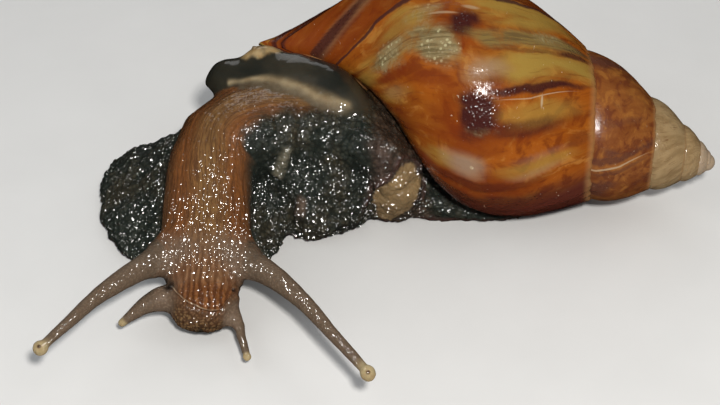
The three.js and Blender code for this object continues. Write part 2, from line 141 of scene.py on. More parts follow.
# %% Helpers for materials
class Finish:
    """A material under construction: its node tree and its one surface shader."""

    def __init__(self, name):
        self.material = bpy.data.materials.new(name)
        self.material.use_nodes = True
        self.tree = self.material.node_tree
        self.tree.nodes.clear()
        output = self.tree.nodes.new("ShaderNodeOutputMaterial")
        self.surface = self.tree.nodes.new("ShaderNodeBsdfPrincipled")
        self.tree.links.new(self.surface.outputs["BSDF"], output.inputs["Surface"])

    def plug(self, socket, value):
        """Links a node's output into a socket, or gives the socket a plain value."""
        if isinstance(value, bpy.types.NodeSocket):
            self.tree.links.new(value, socket)
        elif socket.type == "RGBA" and len(value) == 3:
            socket.default_value = (*value, 1)
        else:
            socket.default_value = value

    def set(self, **sockets):
        """Plugs the surface shader, with _ for each space in a socket's name."""
        for name, value in sockets.items():
            self.plug(self.surface.inputs[name.replace("_", " ")], value)

    def add(self, kind, inputs=(), **settings):
        made = self.tree.nodes.new("ShaderNode" + kind)
        for name, value in settings.items():
            setattr(made, name, value)
        for name, value in dict(inputs).items():
            self.plug(made.inputs[name], value)
        return made

    def math(self, operation, a, b=0.0):
        return self.add("Math", {0: a, 1: b}, operation=operation).outputs[0]

    times = partialmethod(math, "MULTIPLY")
    plus = partialmethod(math, "ADD")
    minus = partialmethod(math, "SUBTRACT")
    most = partialmethod(math, "MAXIMUM")
    size = partialmethod(math, "ABSOLUTE")

    def between(self, value, low, high, to_low=0.0, to_high=1.0):
        """value, eased from low..high onto to_low..to_high."""
        made = self.add("MapRange", {
            "Value": value, "From Min": low, "From Max": high, "To Min": to_low, "To Max": to_high,
        }, interpolation_type="SMOOTHSTEP")
        return made.outputs["Result"]

    def vector(self, operation, a, b=None, c=None):
        inputs = {k: value for k, value in enumerate((a, b, c)) if value is not None}
        return self.add("VectorMath", inputs, operation=operation).outputs[0]

    def blend(self, share, a, b):
        """a where share is 0 and b where it is 1."""
        return self.add("Mix", {0: share, 6: a, 7: b}, data_type="RGBA").outputs[2]

    def shade(self, value, low, high, a, b):
        """a where value is at low and b where it is at high."""
        return self.blend(self.between(value, low, high), a, b)

    def paint(self, colour, *coats):
        """Lays coats over a colour: each is its share of cover and its own colour."""
        for share, coat in coats:
            colour = self.blend(share, colour, coat)
        return colour

    def layer(self, name, kind="Fac"):
        """A number, or a Vector, that the mesh carries at each vertex."""
        return self.add("Attribute", attribute_name=name).outputs[kind]

    def place(self, scale=(1, 1, 1), source=None):
        vector = source or self.add("TexCoord").outputs["Object"]
        return self.add("Mapping", {"Vector": vector, "Scale": scale}).outputs[0]

    def cloud(self, vector, scale, detail=3.0, rough=0.55, warp=0.0):
        made = self.add("TexNoise", {
            "Vector": vector, "Scale": scale, "Detail": detail, "Roughness": rough, "Distortion": warp,
        })
        return made.outputs["Fac"]

    def cells(self, vector, scale, jitter=1.0):
        """How far each place is from the middle of its cell."""
        made = self.add("TexVoronoi", {"Vector": vector, "Scale": scale, "Randomness": jitter})
        return made.outputs["Distance"]

    def domes(self, cells, reach=0.6):
        """A round dome on every cell, that ends at that distance from its middle."""
        return self.between(cells, reach, 0.0)

    def bump(self, height, depth, strength=1.0, under=None):
        made = self.add("Bump", {"Height": height, "Distance": depth, "Strength": strength})
        if under is not None:
            self.plug(made.inputs["Normal"], under)
        return made.outputs["Normal"]


paper = Finish("pale_floor")
speck = paper.cloud(paper.place(), 60, 4)
paper.set(Base_Color=paper.blend(speck, (0.66, 0.66, 0.65), (0.72, 0.72, 0.71)), Roughness=0.75)
floor.data.materials.append(paper.material)
print("floor finish:", len(paper.tree.nodes), "nodes")


# %% Helpers for shapes
def ease(low, high, value):
    """0 below low, 1 above high and a smooth rise between, for arrays too."""
    share = np.clip((value - low) / (high - low), 0, 1)
    return share * share * (3 - 2 * share)


def bell(value, width=1.0):
    """1 where value is 0, falling to nearly 0 at twice the width."""
    return np.exp(-(value / width) ** 2)


def smooth_through(points, count):
    """count places on a smooth curve through the points, evenly spread over them."""
    points = np.array(points, float)
    where = np.linspace(0, len(points) - 1, count)
    start = np.minimum(where.astype(int), len(points) - 2)
    share = (where - start)[:, None]
    a, b, c, d = (points[np.clip(start + k, 0, len(points) - 1)] for k in (-1, 0, 1, 2))
    bend = 2 * a - 5 * b + 4 * c - d + share * (3 * b - 3 * c + d - a)
    return b + share / 2 * (c - a + share * bend)


def numbers(items, name, width):
    """One field of every item of a mesh, as an array."""
    values = np.zeros(len(items) * width, np.float32)
    items.foreach_get(name, values)
    return values.reshape(-1, width).astype(float) if width > 1 else values.astype(float)


def write_layer(mesh, name, values):
    """Stores a number, or a vector, at each vertex for a material to read."""
    kind, field = ("FLOAT", "value") if values.ndim == 1 else ("FLOAT_VECTOR", "vector")
    layer = mesh.attributes.new(name, kind, "POINT")
    layer.data.foreach_set(field, values.astype(np.float32).ravel())


def lumps(places, size, seed=0.0):
    """Soft noise from -1 to 1 at each place, in lumps of about that size in mm."""
    spots = places / size + seed * 17.3
    return np.array([noise.noise(spot) for spot in spots.tolist()]) * 1.6


def smooth_faces(mesh):
    for face in mesh.polygons:
        face.use_smooth = True


def piece_of(shape, name):
    """Makes a finished bmesh into a smooth-shaded piece that rides on the frame."""
    mesh = bpy.data.meshes.new(name)
    shape.to_mesh(mesh)
    shape.free()
    smooth_faces(mesh)
    made = bpy.data.objects.new(name, mesh)
    bpy.context.scene.collection.objects.link(made)
    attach(made, "root")
    return made

# %% [markdown]
# ## The shell
#
# A snail adds a thin rim of shell at the lip, and each rim is a little larger
# than the last. The same can be done with a mesh: draw one section of the
# whorl, then extrude it, turn it and scale it, again and again. Because every
# step turns and scales alike, each whorl lands exactly on the one before it,
# and the seams come out by themselves. Turns are counted from the crest of
# the last whorl, so the tip is far below zero and the lip is just above it.

# %% Shell sizes
TIP = Vector((84.6, 0.1, 10.95))
PITCH, YAW, ROLL = (math.radians(a) for a in (10.6, 9.0, 40.8))
HEIGHT_GROWTH, RADIUS_GROWTH = 1.93, 1.61  # over one turn
SEAM_HEIGHT, BASE_HEIGHT = 27.9, 82.0  # of the section at the crest
SEAM_DROP, LIP_GROWTH = 4.0, 5.0  # how the last stretch leaves the even spiral
FIRST_TURN, FINE_TURN, LIP_TURN = -5.3, -1.1, 0.2
FIRST_RIMS, FINE_RIMS, THROAT_RIMS = 200, 240, 8
MOUTH_DEPTH = 0.11  # in turns
LIP_STEPS = [  # turns, then the rim's scale across and along the axis
    (0.0022, 0.984, 0.993), (0.0012, 0.972, 0.988), (-0.0012, 0.965, 0.985), (-0.0022, 0.982, 0.993),
]
WHORL_OUTLINE = [
    (0.0, 14.5), (0.08, 17.1), (0.17, 19.6), (0.3, 22.3), (0.46, 23.7),
    (0.61, 22.3), (0.74, 18.2), (0.85, 11.8), (0.94, 6.2), (1.0, 2.6),
]
PILLAR = [(0, 1), (0.9, 2), (1.6, 20), (2.3, 50), (2.5, 68), (2, 76), (1, 81), (0, 82)]  # radius and height
APEX_RADIUS, APEX_HEIGHT, APEX_TURN = 1.7, 1.75, -4.6

spindle = Vector((-math.cos(PITCH) * math.cos(YAW), math.cos(PITCH) * math.sin(YAW), math.sin(PITCH)))
upright = (Vector((0, 0, 1)) - spindle * spindle.z).normalized()
crest = Matrix.Rotation(ROLL, 3, spindle) @ upright
past_crest = spindle.cross(crest)
shell_frame = Matrix.Translation(TIP) @ Matrix((crest, past_crest, spindle)).transposed().to_4x4()
print("shell axis:", [round(v, 3) for v in spindle], "crest:", [round(v, 3) for v in crest])

# %% Grow the shell
shell_shape = bmesh.new()
turn_layer = shell_shape.verts.layers.float.new("turn")
share_layer = shell_shape.verts.layers.float.new("share")
inside_layer = shell_shape.verts.layers.float.new("inside")

section = [*smooth_through(WHORL_OUTLINE, 28), (1.0, 0.6), (0.5, 0.6), (0.0, 0.6)]
rim = []
for share, radius in section:
    corner = shell_shape.verts.new((radius, 0, SEAM_HEIGHT + (BASE_HEIGHT - SEAM_HEIGHT) * share))
    corner[share_layer] = share
    rim.append(corner)
edges = [shell_shape.edges.new((a, b)) for a, b in zip(rim, rim[1:] + rim[:1])]


def turn_and_scale(corners, turns):
    """Moves corners along the spiral by that many turns."""
    spin = Matrix.Rotation(2 * math.pi * turns, 3, "Z")
    bmesh.ops.rotate(shell_shape, verts=corners, cent=(0, 0, 0), matrix=spin)
    wide, high = RADIUS_GROWTH ** turns, HEIGHT_GROWTH ** turns
    bmesh.ops.scale(shell_shape, verts=corners, vec=(wide, wide, high))


def grow(edges, turns, turn):
    """Adds one rim of shell past the edges and returns its own edges."""
    made = bmesh.ops.extrude_edge_only(shell_shape, edges=edges)["geom"]
    corners = [part for part in made if isinstance(part, bmesh.types.BMVert)]
    turn_and_scale(corners, turns)
    for corner in corners:
        corner[turn_layer] = turn
    return [part for part in made if isinstance(part, bmesh.types.BMEdge)
            and part.verts[0] in corners and part.verts[1] in corners]


turn_and_scale(rim, FIRST_TURN)
for corner in rim:
    corner[turn_layer] = FIRST_TURN
bmesh.ops.contextual_create(shell_shape, geom=edges)
rests = [*np.linspace(FIRST_TURN, FINE_TURN, FIRST_RIMS)[:-1], *np.linspace(FINE_TURN, LIP_TURN, FINE_RIMS)]
for before, turn in zip(rests, rests[1:]):
    edges = grow(edges, turn - before, turn)
print("shell wall:", len(shell_shape.verts), "corners after", len(rests) - 1, "rims")

# %% [markdown]
# The last stretch of a grown shell leaves the even spiral: the seam drops a
# little and the base reaches further down. After that the rim is turned in,
# rounded, and carried back into the mouth, so that the wall has a thickness
# and the mouth has a throat for the body to sit in.

# %% Turn in the lip
for corner in shell_shape.verts:
    turn = corner[turn_layer]
    if turn > 0:
        late = float(ease(0, LIP_TURN, turn))
        low = SEAM_HEIGHT * HEIGHT_GROWTH ** turn + SEAM_DROP * late
        high = BASE_HEIGHT + LIP_GROWTH * late
        corner.co.z = low + (high - low) * corner[share_layer]


def draw_in(edges, turn, radial, along):
    """Shrinks a rim about the middle of its section, without leaving its plane."""
    corners = list({corner for edge in edges for corner in edge.verts})
    plane = Matrix.Rotation(2 * math.pi * turn, 4, "Z") @ Matrix.Translation((12, 0, 61))
    bmesh.ops.scale(shell_shape, verts=corners, vec=(radial, 1, along), space=plane.inverted())


lip = LIP_TURN
for step, radial, along in LIP_STEPS:
    lip += step
    edges = grow(edges, step, lip)
    draw_in(edges, lip, radial, along)
for _ in range(THROAT_RIMS):
    lip -= MOUTH_DEPTH / THROAT_RIMS
    edges = grow(edges, -MOUTH_DEPTH / THROAT_RIMS, lip)
    for edge in edges:
        for corner in edge.verts:
            corner[inside_layer] = 1
bmesh.ops.contextual_create(shell_shape, geom=edges)

pillar_corners = [shell_shape.verts.new((radius, 0, height)) for radius, height in PILLAR]
pillar_edges = [shell_shape.edges.new(pair) for pair in zip(pillar_corners, pillar_corners[1:])]
bmesh.ops.spin(shell_shape, geom=pillar_corners + pillar_edges, cent=(0, 0, 0), axis=(0, 0, 1),
               angle=2 * math.pi, steps=16, use_merge=True)
apex = bmesh.ops.create_uvsphere(shell_shape, u_segments=20, v_segments=12, radius=APEX_RADIUS,
                                 matrix=Matrix.Translation((0, 0, APEX_HEIGHT)))["verts"]
for corner in apex:
    corner[turn_layer], corner[share_layer] = APEX_TURN, 0.3
bmesh.ops.remove_doubles(shell_shape, verts=shell_shape.verts, dist=1e-4)
bmesh.ops.recalc_face_normals(shell_shape, faces=shell_shape.faces)
bmesh.ops.transform(shell_shape, matrix=Matrix.Scale(MM, 4) @ shell_frame, verts=shell_shape.verts)
shell = piece_of(shell_shape, "spiral_shell")
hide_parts("shell")
print("shell:", len(shell.data.vertices), "corners; lip at turn", round(lip, 3))


# %% Bake a piece's modifiers into its mesh
def settle(piece):
    """Swaps the piece's mesh for the one its modifiers make, and drops them."""
    graph = bpy.context.evaluated_depsgraph_get()
    graph.update()
    evaluated = piece.evaluated_get(graph)
    mesh = bpy.data.meshes.new_from_object(evaluated, preserve_all_data_layers=True, depsgraph=graph)
    piece.modifiers.clear()
    old = piece.data
    piece.data = mesh
    bpy.data.meshes.remove(old)
    smooth_faces(mesh)


smoothing = shell.modifiers.new("smoothing", "SUBSURF")
smoothing.levels = smoothing.render_levels = 1
settle(shell)
print("shell, smoothed:", len(shell.data.vertices), "corners,", len(shell.data.polygons), "faces")

# %% [markdown]
# ### Growth marks and flames
#
# Everything drawn on a shell was laid down at the lip, so it follows the
# lip's own slanting line. Each corner therefore carries its age: the turn at
# which the lip passed it. Ridges and colours that depend on age alone run
# across the whorl just as real growth lines do. The growth lines are moved
# into the mesh; the patches of colour are stored as layers for the material.

# %% Growth marks
LIP_SLANT = [
    (0.0, 0.085), (0.06, 0.068), (0.284, 0.02), (0.47, 0.0), (0.6, 0.0),
    (0.726, -0.005), (0.817, -0.027), (0.911, -0.06), (1.0, -0.1),
]
REST_AGE = -0.105  # where the snail stopped growing for a season, and went on

BLUNTING = 1.6  # how much shell is left past the start of the lip's rounded tip
mesh = shell.data
turns, shares, insides = (
    numbers(mesh.attributes[name].data, "value", 1) for name in ("turn", "share", "inside")
)
where = numbers(mesh.vertices, "co", 3) / MM
at_lip = turns > 0.1
lip_tip = where[at_lip & (shares > 0.985)].mean(0)
before_tip = where[at_lip & (abs(shares - 0.85) < 0.02)].mean(0)
outmost = lip_tip - before_tip
outmost /= np.linalg.norm(outmost)
reach = where @ outmost
over = np.maximum(reach - reach[at_lip].max() + 2 * BLUNTING, 0) * at_lip
cut_back = over - BLUNTING * (1 - np.exp(-over / BLUNTING))
where -= outmost * cut_back[:, None]
mesh.vertices.foreach_set("co", (where * MM).astype(np.float32).ravel())
mesh.update()
print("lip tip rounded off by, mm:", round(float(cut_back.max()), 2))
slant_at, slant = zip(*LIP_SLANT)
ages = turns - np.interp(shares, slant_at, slant)
size = RADIUS_GROWTH ** np.minimum(turns, 0)

growth_lines = np.stack([ages * 100, shares * 1.4, ages * 0], 1)
slow_lines = np.stack([ages * 24, shares * 1.1, ages * 0 + 9], 1)
relief = 0.06 * lumps(growth_lines, 1.0) + 0.1 * lumps(slow_lines, 1.0, 2)
relief += 0.05 * lumps(np.stack([ages * 45, shares * 9, turns], 1), 1.0, 3)
pinched = bell(shares, 0.035)
relief += pinched * (0.1 + 0.16 * lumps(np.stack([turns * 75, shares * 4, turns], 1), 1.0, 5))
relief += 0.14 * bell(ages - REST_AGE, 0.008)
relief -= 0.12 * bell(ages - REST_AGE - 0.018, 0.008)
relief *= (1 - insides) * np.clip(size * 1.3, 0.25, 1) * (1 - ease(0.94, 1.0, shares))
where = numbers(mesh.vertices, "co", 3)
where += numbers(mesh.vertices, "normal", 3) * relief[:, None] * MM
mesh.vertices.foreach_set("co", where.astype(np.float32).ravel())
print("growth marks from", round(relief.min(), 2), "to", round(relief.max(), 2), "mm")

# %% Patches of colour
# Each patch: age, share, half its width in age and in share, and its strength.
DARK_PATCHES_AND_SHADE = [
    (-0.272, 0.46, 0.034, 0.085, 1.0), (-0.155, 0.53, 0.025, 0.055, 1.0), (-0.338, 0.07, 0.014, 0.05, 0.4),
    # The last dark patch is painted shade, low on the underside of the last whorl.
    (-0.428, 0.45, 0.022, 0.32, 0.75),
]
# Lines too thin for the mesh to hold; the finish draws these itself.
DARK_STROKES = [
    (-0.243, 0.26, 0.0066, 0.22, 0.95), (-0.296, 0.3, 0.013, 0.18, 0.6), (-0.186, 0.1, 0.006, 0.08, 0.85),
    (-0.18, 0.8, 0.006, 0.06, 0.5), (-0.385, 0.48, 0.01, 0.28, 0.5), (-0.196, 0.63, 0.008, 0.05, 0.5),
    (-0.17, 0.09, 0.009, 0.07, 0.8), (-0.188, 0.26, 0.0035, 0.22, 0.4),
    (-1.238, 0.3, 0.01, 0.22, 0.35), (-1.322, 0.36, 0.01, 0.34, 0.8), (-1.356, 0.28, 0.007, 0.24, 0.55),
]
SCRATCHES = [
    (-0.2535, 0.25, 0.001, 0.14, 0.6), (-0.262, 0.232, 0.01, 0.0045, 0.8), (-1.343, 0.34, 0.0028, 0.26, 0.7),
    (-0.35, 0.5, 0.003, 0.008, 0.8), (-0.14, 0.6, 0.002, 0.05, 0.5), (-0.128, 0.5, 0.003, 0.03, 0.5),
]
RED_PATCHES = [
    (-0.31, 0.72, 0.026, 0.14, 0.5), (-0.216, 0.8, 0.012, 0.09, 1.0), (-0.298, 0.48, 0.018, 0.16, 1.0),
    (-0.234, 0.66, 0.01, 0.09, 0.9), (-0.3, 0.61, 0.028, 0.06, 0.7), (-0.308, 0.26, 0.01, 0.18, 0.7),
    (-0.262, 0.6, 0.04, 0.06, 0.6), (-0.24, 0.45, 0.02, 0.14, 0.5), (-0.157, 0.54, 0.036, 0.11, 0.8),
    (-0.15, 0.8, 0.02, 0.1, 0.4), (-0.39, 0.55, 0.024, 0.34, 0.9), (-0.322, 0.5, 0.012, 0.12, 0.8),
    (-1.34, 0.4, 0.026, 0.4, 0.5),
]
PALE_PATCHES = [
    (-0.35, 0.53, 0.019, 0.08, 1.0), (-0.214, 0.46, 0.016, 0.07, 0.7), (-0.345, 0.22, 0.006, 0.1, 0.3),
    (-0.25, 0.82, 0.014, 0.05, 0.25), (-0.372, 0.24, 0.007, 0.1, 0.35), (-1.19, 0.4, 0.014, 0.1, 0.25),
]
YELLOW_PATCHES = [
    (-0.212, 0.22, 0.026, 0.28, 1.0), (-0.128, 0.3, 0.024, 0.24, 0.9), (-0.142, 0.74, 0.026, 0.1, 0.9),
    (-0.355, 0.64, 0.016, 0.07, 0.8), (-0.281, 0.24, 0.019, 0.15, 0.6), (-0.362, 0.24, 0.013, 0.16, 0.6),
    (-0.258, 0.82, 0.018, 0.08, 0.45), (-0.19, 0.9, 0.034, 0.05, 0.7),
    (-0.247, 0.83, 0.012, 0.05, 0.4),
]
DULL_PATCHES = [
    (-0.184, 0.65, 0.03, 0.075, 1.0), (-0.18, 0.8, 0.022, 0.06, 0.9), (-0.166, 0.2, 0.01, 0.05, 0.6),
    (-0.14, 0.66, 0.018, 0.06, 0.6), (-0.296, 0.46, 0.006, 0.05, 0.7),
]
OLIVE_PATCHES = [
    (-0.1705, 0.285, 0.0135, 0.235, 0.95), (-0.184, 0.65, 0.026, 0.085, 0.8),
    (-0.178, 0.79, 0.018, 0.075, 0.7),
]
LIP_PATCH = (0.262, 0.972, 0.075, 0.03, 1.0)

wobble = np.stack([ages * 34, shares * 9, turns], 1)
wobble_age = 0.009 * lumps(wobble, 1.2, 11) + 0.0025 * lumps(wobble, 0.5, 12)
wobble_share = 0.035 * lumps(wobble, 1.1, 13) + 0.018 * lumps(wobble, 0.4, 14)


def patches(spots, blur=1.0):
    """How strongly a list of patches colours each corner of the shell."""
    cover = np.zeros(len(ages))
    for age, share, wide, tall, strength in spots:
        steady = min(1, wide / 0.03)  # a thin band may not wander further than it is wide
        over_age = abs(ages + wobble_age * steady - age) / wide
        over_share = abs(shares + wobble_share * steady - share) / tall
        off = (over_age ** 2.5 + over_share ** 2.5) ** 0.4
        cover = np.maximum(cover, strength * (1 - ease(1 - 0.45 * blur, 1 + 0.35 * blur, off)))
    return cover * (1 - insides)


hidden = 1 - ease(-0.5, -0.44, ages) * (1 - ease(-0.1, -0.06, ages))
flames = np.stack([ages * 16, shares * 2.2, turns * 0], 1)
flame = ease(0.12, 0.55, lumps(flames, 1.0, 21) + 0.35 * lumps(flames, 0.3, 22))
paler = ease(0.2, 0.6, lumps(flames, 1.3, 23))
new_growth = ease(REST_AGE, REST_AGE + 0.006, ages)
write_layer(mesh, "growth", np.stack([ages, shares, turns], 1))
write_layer(mesh, "dark", np.maximum(patches(DARK_PATCHES_AND_SHADE, 0.8), 0.9 * flame * hidden))
write_layer(mesh, "olive", patches(OLIVE_PATCHES, 0.6))
write_layer(mesh, "red", np.maximum(patches(RED_PATCHES), 0.75 * new_growth * (1 - patches([LIP_PATCH]))))
write_layer(mesh, "pale", np.maximum(patches(PALE_PATCHES, 1.6), 0.3 * paler * hidden))
write_layer(mesh, "yellow", np.maximum(patches([*YELLOW_PATCHES, LIP_PATCH]), 0.7 * paler * hidden))
write_layer(mesh, "dull", patches(DULL_PATCHES))
print("share of the shell under flames:", round(float(flame.mean()), 2))

# %% [markdown]
# ### The shell's finish
#
# Amber shell is translucent horn over chalk: warm, glossy, with darker flames
# and a worn, chalky tip. One noise runs along the growth lines, a second
# breaks the patches up, and thin lines of age ridge the surface.

# %% Shell finish
horn = Finish("amber_shell")
growth = horn.layer("growth", "Vector")
age, share, turn = horn.add("SeparateXYZ", {"Vector": growth}).outputs
streaks = horn.cloud(horn.place((30, 3.4, 0.4), growth), 1.0, 4, 0.5, 0.4)
threads = horn.cloud(horn.place((220, 7, 1), growth), 1.0, 3, 0.6)
blotch = horn.cloud(horn.place((30, 11, 1), growth), 1.0, 4, 0.6, 0.6)
drift = horn.cloud(horn.place((9, 5, 1), growth), 1.0, 3)
sway = horn.cloud(horn.place((16, 9, 1), growth), 1.0, 3)
mottle = horn.cloud(horn.place(), 210, 5, 0.6, 0.3)
swayed = horn.plus(age, horn.times(horn.minus(sway, 0.5), 0.022))


def strokes(lines, across):
    """How strongly a list of thin strokes covers a place whose age is across."""
    cover = 0.0
    for at_age, at_share, wide, tall, strength in lines:
        over_age = horn.math("DIVIDE", horn.minus(across, at_age), wide)
        over_share = horn.math("DIVIDE", horn.minus(share, at_share), tall)
        squares = horn.plus(horn.times(over_age, over_age), horn.times(over_share, over_share))
        cover = horn.most(cover, horn.between(horn.math("SQRT", squares), 1.35, 0.5, 0.0, strength))
    return cover


drawn = horn.most(horn.layer("dark"), strokes(DARK_STROKES, swayed))
dark = horn.times(drawn, horn.between(streaks, 0.2, 0.48, 0.7, 1.0))
dull = horn.times(horn.layer("dull"), horn.between(mottle, 0.34, 0.56))
older, oldest = horn.between(turn, -0.62, -1.0), horn.between(turn, -1.58, -1.86)
brown_lines = horn.times(horn.between(threads, 0.56, 0.7), horn.between(streaks, 0.62, 0.42))
rested = horn.between(horn.size(horn.minus(swayed, REST_AGE)), 0.006, 0.002)
specks = horn.cloud(horn.place((1, 0.35, 1)), 1500, 2)
nicks = horn.times(horn.between(specks, 0.71, 0.75), horn.between(mottle, 0.5, 0.62))
flakes = horn.between(horn.cells(horn.place(), 1100), 0.42, 0.16)
flakes = horn.times(flakes, horn.between(mottle, 0.46, 0.56))

olive = horn.shade(threads, 0.42, 0.62, (0.19, 0.128, 0.04), (0.12, 0.08, 0.03))
crust = horn.shade(threads, 0.46, 0.6, (0.25, 0.2, 0.1), (0.135, 0.105, 0.045))
crust = horn.blend(flakes, crust, (0.46, 0.42, 0.24))
tan = horn.paint(
    horn.shade(streaks, 0.35, 0.65, (0.16, 0.046, 0.01), (0.235, 0.08, 0.017)),
    (horn.between(blotch, 0.5, 0.64, 0.0, 0.8), (0.115, 0.027, 0.009)),
    (horn.between(blotch, 0.47, 0.34, 0.0, 0.7), (0.3, 0.115, 0.022)),
    (dark, (0.09, 0.03, 0.018)),
)
chalk = horn.shade(streaks, 0.35, 0.65, (0.22, 0.14, 0.062), (0.3, 0.205, 0.1))
chalk = horn.shade(threads, 0.6, 0.68, chalk, (0.16, 0.085, 0.035))
colour = horn.paint(
    horn.shade(streaks, 0.36, 0.64, (0.215, 0.05, 0.005), (0.275, 0.086, 0.009)),
    (horn.between(drift, 0.4, 0.62), (0.28, 0.072, 0.007)),
    (horn.between(blotch, 0.51, 0.64, 0.0, 0.85), (0.15, 0.03, 0.005)),
    (horn.between(blotch, 0.47, 0.34, 0.0, 0.8), (0.37, 0.145, 0.024)),
    (horn.times(horn.layer("yellow"), horn.between(streaks, 0.25, 0.55)), (0.29, 0.18, 0.036)),
    (horn.times(horn.layer("red"), horn.between(mottle, 0.28, 0.58, 0.65, 1.0)), (0.16, 0.028, 0.005)),
    (horn.times(horn.layer("pale"), horn.between(mottle, 0.2, 0.5, 0.6, 1.0)), (0.27, 0.17, 0.108)),
    (horn.times(brown_lines, 0.55), (0.12, 0.026, 0.006)),
    (dark, (0.045, 0.011, 0.009)),
    (horn.times(horn.layer("olive"), horn.between(mottle, 0.3, 0.5, 0.55, 1.0)), olive),
    (horn.times(dull, 0.8), crust),
    # painted shade: the last whorl's colour darkens towards its underside
    (horn.between(age, -0.395, -0.46), (0.085, 0.02, 0.012)),  # the shaded underside
    (older, tan),
    (oldest, chalk),
    (horn.between(turn, -3.2, -4.4), (0.33, 0.245, 0.165)),  # the bleached tip
    (horn.times(horn.between(share, 0.045, 0.012), 0.6), (0.34, 0.18, 0.07)),  # the seam
    (horn.times(rested, 0.9), (0.05, 0.017, 0.015)),
    (strokes(SCRATCHES, age), (0.42, 0.31, 0.19)),
    (nicks, (0.55, 0.46, 0.32)),
    (horn.layer("inside"), (0.5, 0.48, 0.48)),
)

ridges = horn.bump(threads, 0.1 * MM, 0.35)
hammered = horn.bump(horn.cloud(horn.place(), 900, 4, 0.65), 0.16 * MM, 0.45, ridges)
pebbled = horn.times(horn.domes(horn.cells(horn.place(), 1500)), horn.most(dark, dull))
hammered = horn.bump(pebbled, 0.12 * MM, 0.8, hammered)
worn = horn.most(horn.most(dull, oldest), horn.times(older, 0.6))
horn.set(
    Base_Color=colour, Roughness=horn.between(horn.plus(worn, horn.times(nicks, 0.5)), 0.0, 1.0, 0.22, 0.46),
    Normal=hammered, Coat_Normal=hammered, Coat_Weight=0.3, Coat_Roughness=0.08, Specular_IOR_Level=0.2,
    Subsurface_Weight=0.06, Subsurface_Scale=2 * MM, Subsurface_Radius=(1.0, 0.45, 0.2),
)
mesh.materials.append(horn.material)
print("shell finish:", len(horn.tree.nodes), "nodes")

# %% [markdown]
# ## The body
#
# CAD parted the flesh into named solids with thin cuts between them, but a
# living snail has one unbroken skin. Copies of the solids are swollen a
# little, so that the cuts close, and a voxel remesh wraps them in one
# even net of small faces. That net is then relaxed, which rounds the facets
# off, and is fine enough to carry wrinkles as real shape.

# %% Body sizes
NECK = [  # x, y, z, half width, half height
    (22, 4.6, 15.6, 7.4, 7.4), (13, 3.0, 16.2, 8.6, 8.2), (2.5, 2.4, 17.1, 8.9, 8.5),
    (-4.8, -1.4, 16.0, 8.3, 8.0), (-6.9, -8.4, 12.8, 7.8, 7.2), (-7.0, -16.0, 9.8, 7.9, 6.2),
    (-7.0, -22.6, 8.0, 7.9, 5.3), (-7.0, -27.8, 7.0, 6.8, 4.8), (-7.1, -32.0, 6.2, 5.9, 4.2),
    (-7.2, -34.8, 5.4, 4.2, 2.8),
]
UPPER_FEELERS = {
    "right": [(-9, -23, 9), (-16.4, -27.2, 10.6), (-23.2, -35, 11.6), (-28, -42.6, 12), (-32.1, -48.9, 12)],
    "left": [(-4.6, -23, 9), (3.4, -28.2, 10.4), (10, -36.6, 11.4), (15.6, -46, 12), (21.3, -54.8, 12)],
}
LOWER_FEELERS = {
    "right": [(-9, -30, 6.2), (-13.8, -31.0, 6.4), (-17, -32.5, 6.0), (-20.7, -34.5, 4.0)],
    "left": [(-5, -31, 5.0), (-1.6, -33.6, 4.6), (-0.2, -37.4, 3.6), (1.0, -41.8, 3.0)],
}
UPPER_RADII, UPPER_BULB = (3.5, 2.3, 1.46, 1.04, 0.8), 1.36
LOWER_RADII, LOWER_BULB = {"right": (2.8, 2.25, 1.5, 0.56), "left": (2.6, 1.5, 0.8, 0.56)}, 0.68
FLESH = [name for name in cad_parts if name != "shell" and not name.startswith("eye")]
SWELL, VOXEL = 0.2, 0.33
SKIN_KEPT = 0.56  # the share of the net's faces that thinning leaves
PATH_STEPS = 30  # places on each line that is followed over the skin
ROOTS = [  # balls that flare the feelers out of the head: place and radius
    ((-11, -19.5, 9.7), 4), ((-12.3, -21.8, 9.9), 3.5), ((-14.2, -24.2, 10.2), 3),
    ((-16.2, -26.8, 10.6), 2.4), ((-3, -19.5, 9.7), 4), ((-1.7, -21.8, 9.9), 3.5),
    ((0.3, -24.6, 10.2), 3), ((2.6, -27.4, 10.4), 2.4),
    ((-2.4, -31.4, 6.4), 2.0), ((-1.2, -34.0, 5.2), 1.5), ((-7.2, -34.7, 4.3), 1.7),
]
CHEEKS = [  # where the head is smoothed and drawn in: place, radius and how far
    ((-14.9, -28.2, 7.9), 2.1, (1.2, 0, 0)), ((-7.6, -36.3, 2.2), 1.8, (0, 0, 0)),
    ((-0.2, -28.8, 7.6), 2.1, (-0.8, 0, 0)),
]
AMBER_LOBE = (2.6, 11.4, 26.9), (3.9, 2.4, 2.3)  # a wet lobe that laps over the tip of the shell's lip

# %% Wrap the flesh in one net
flesh_shape = bmesh.new()
for name in FLESH:
    flesh_shape.from_mesh(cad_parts[name].data)


def add_ball(place, radius, segments, rings, stretch=(1, 1, 1)):
    """Adds a ball to the flesh, or one stretched along the three axes."""
    seat = Matrix.Translation(Vector(place) * MM) @ Matrix.Diagonal((*stretch, 1))
    bmesh.ops.create_uvsphere(flesh_shape, u_segments=segments, v_segments=rings,
                              radius=radius * MM, matrix=seat)


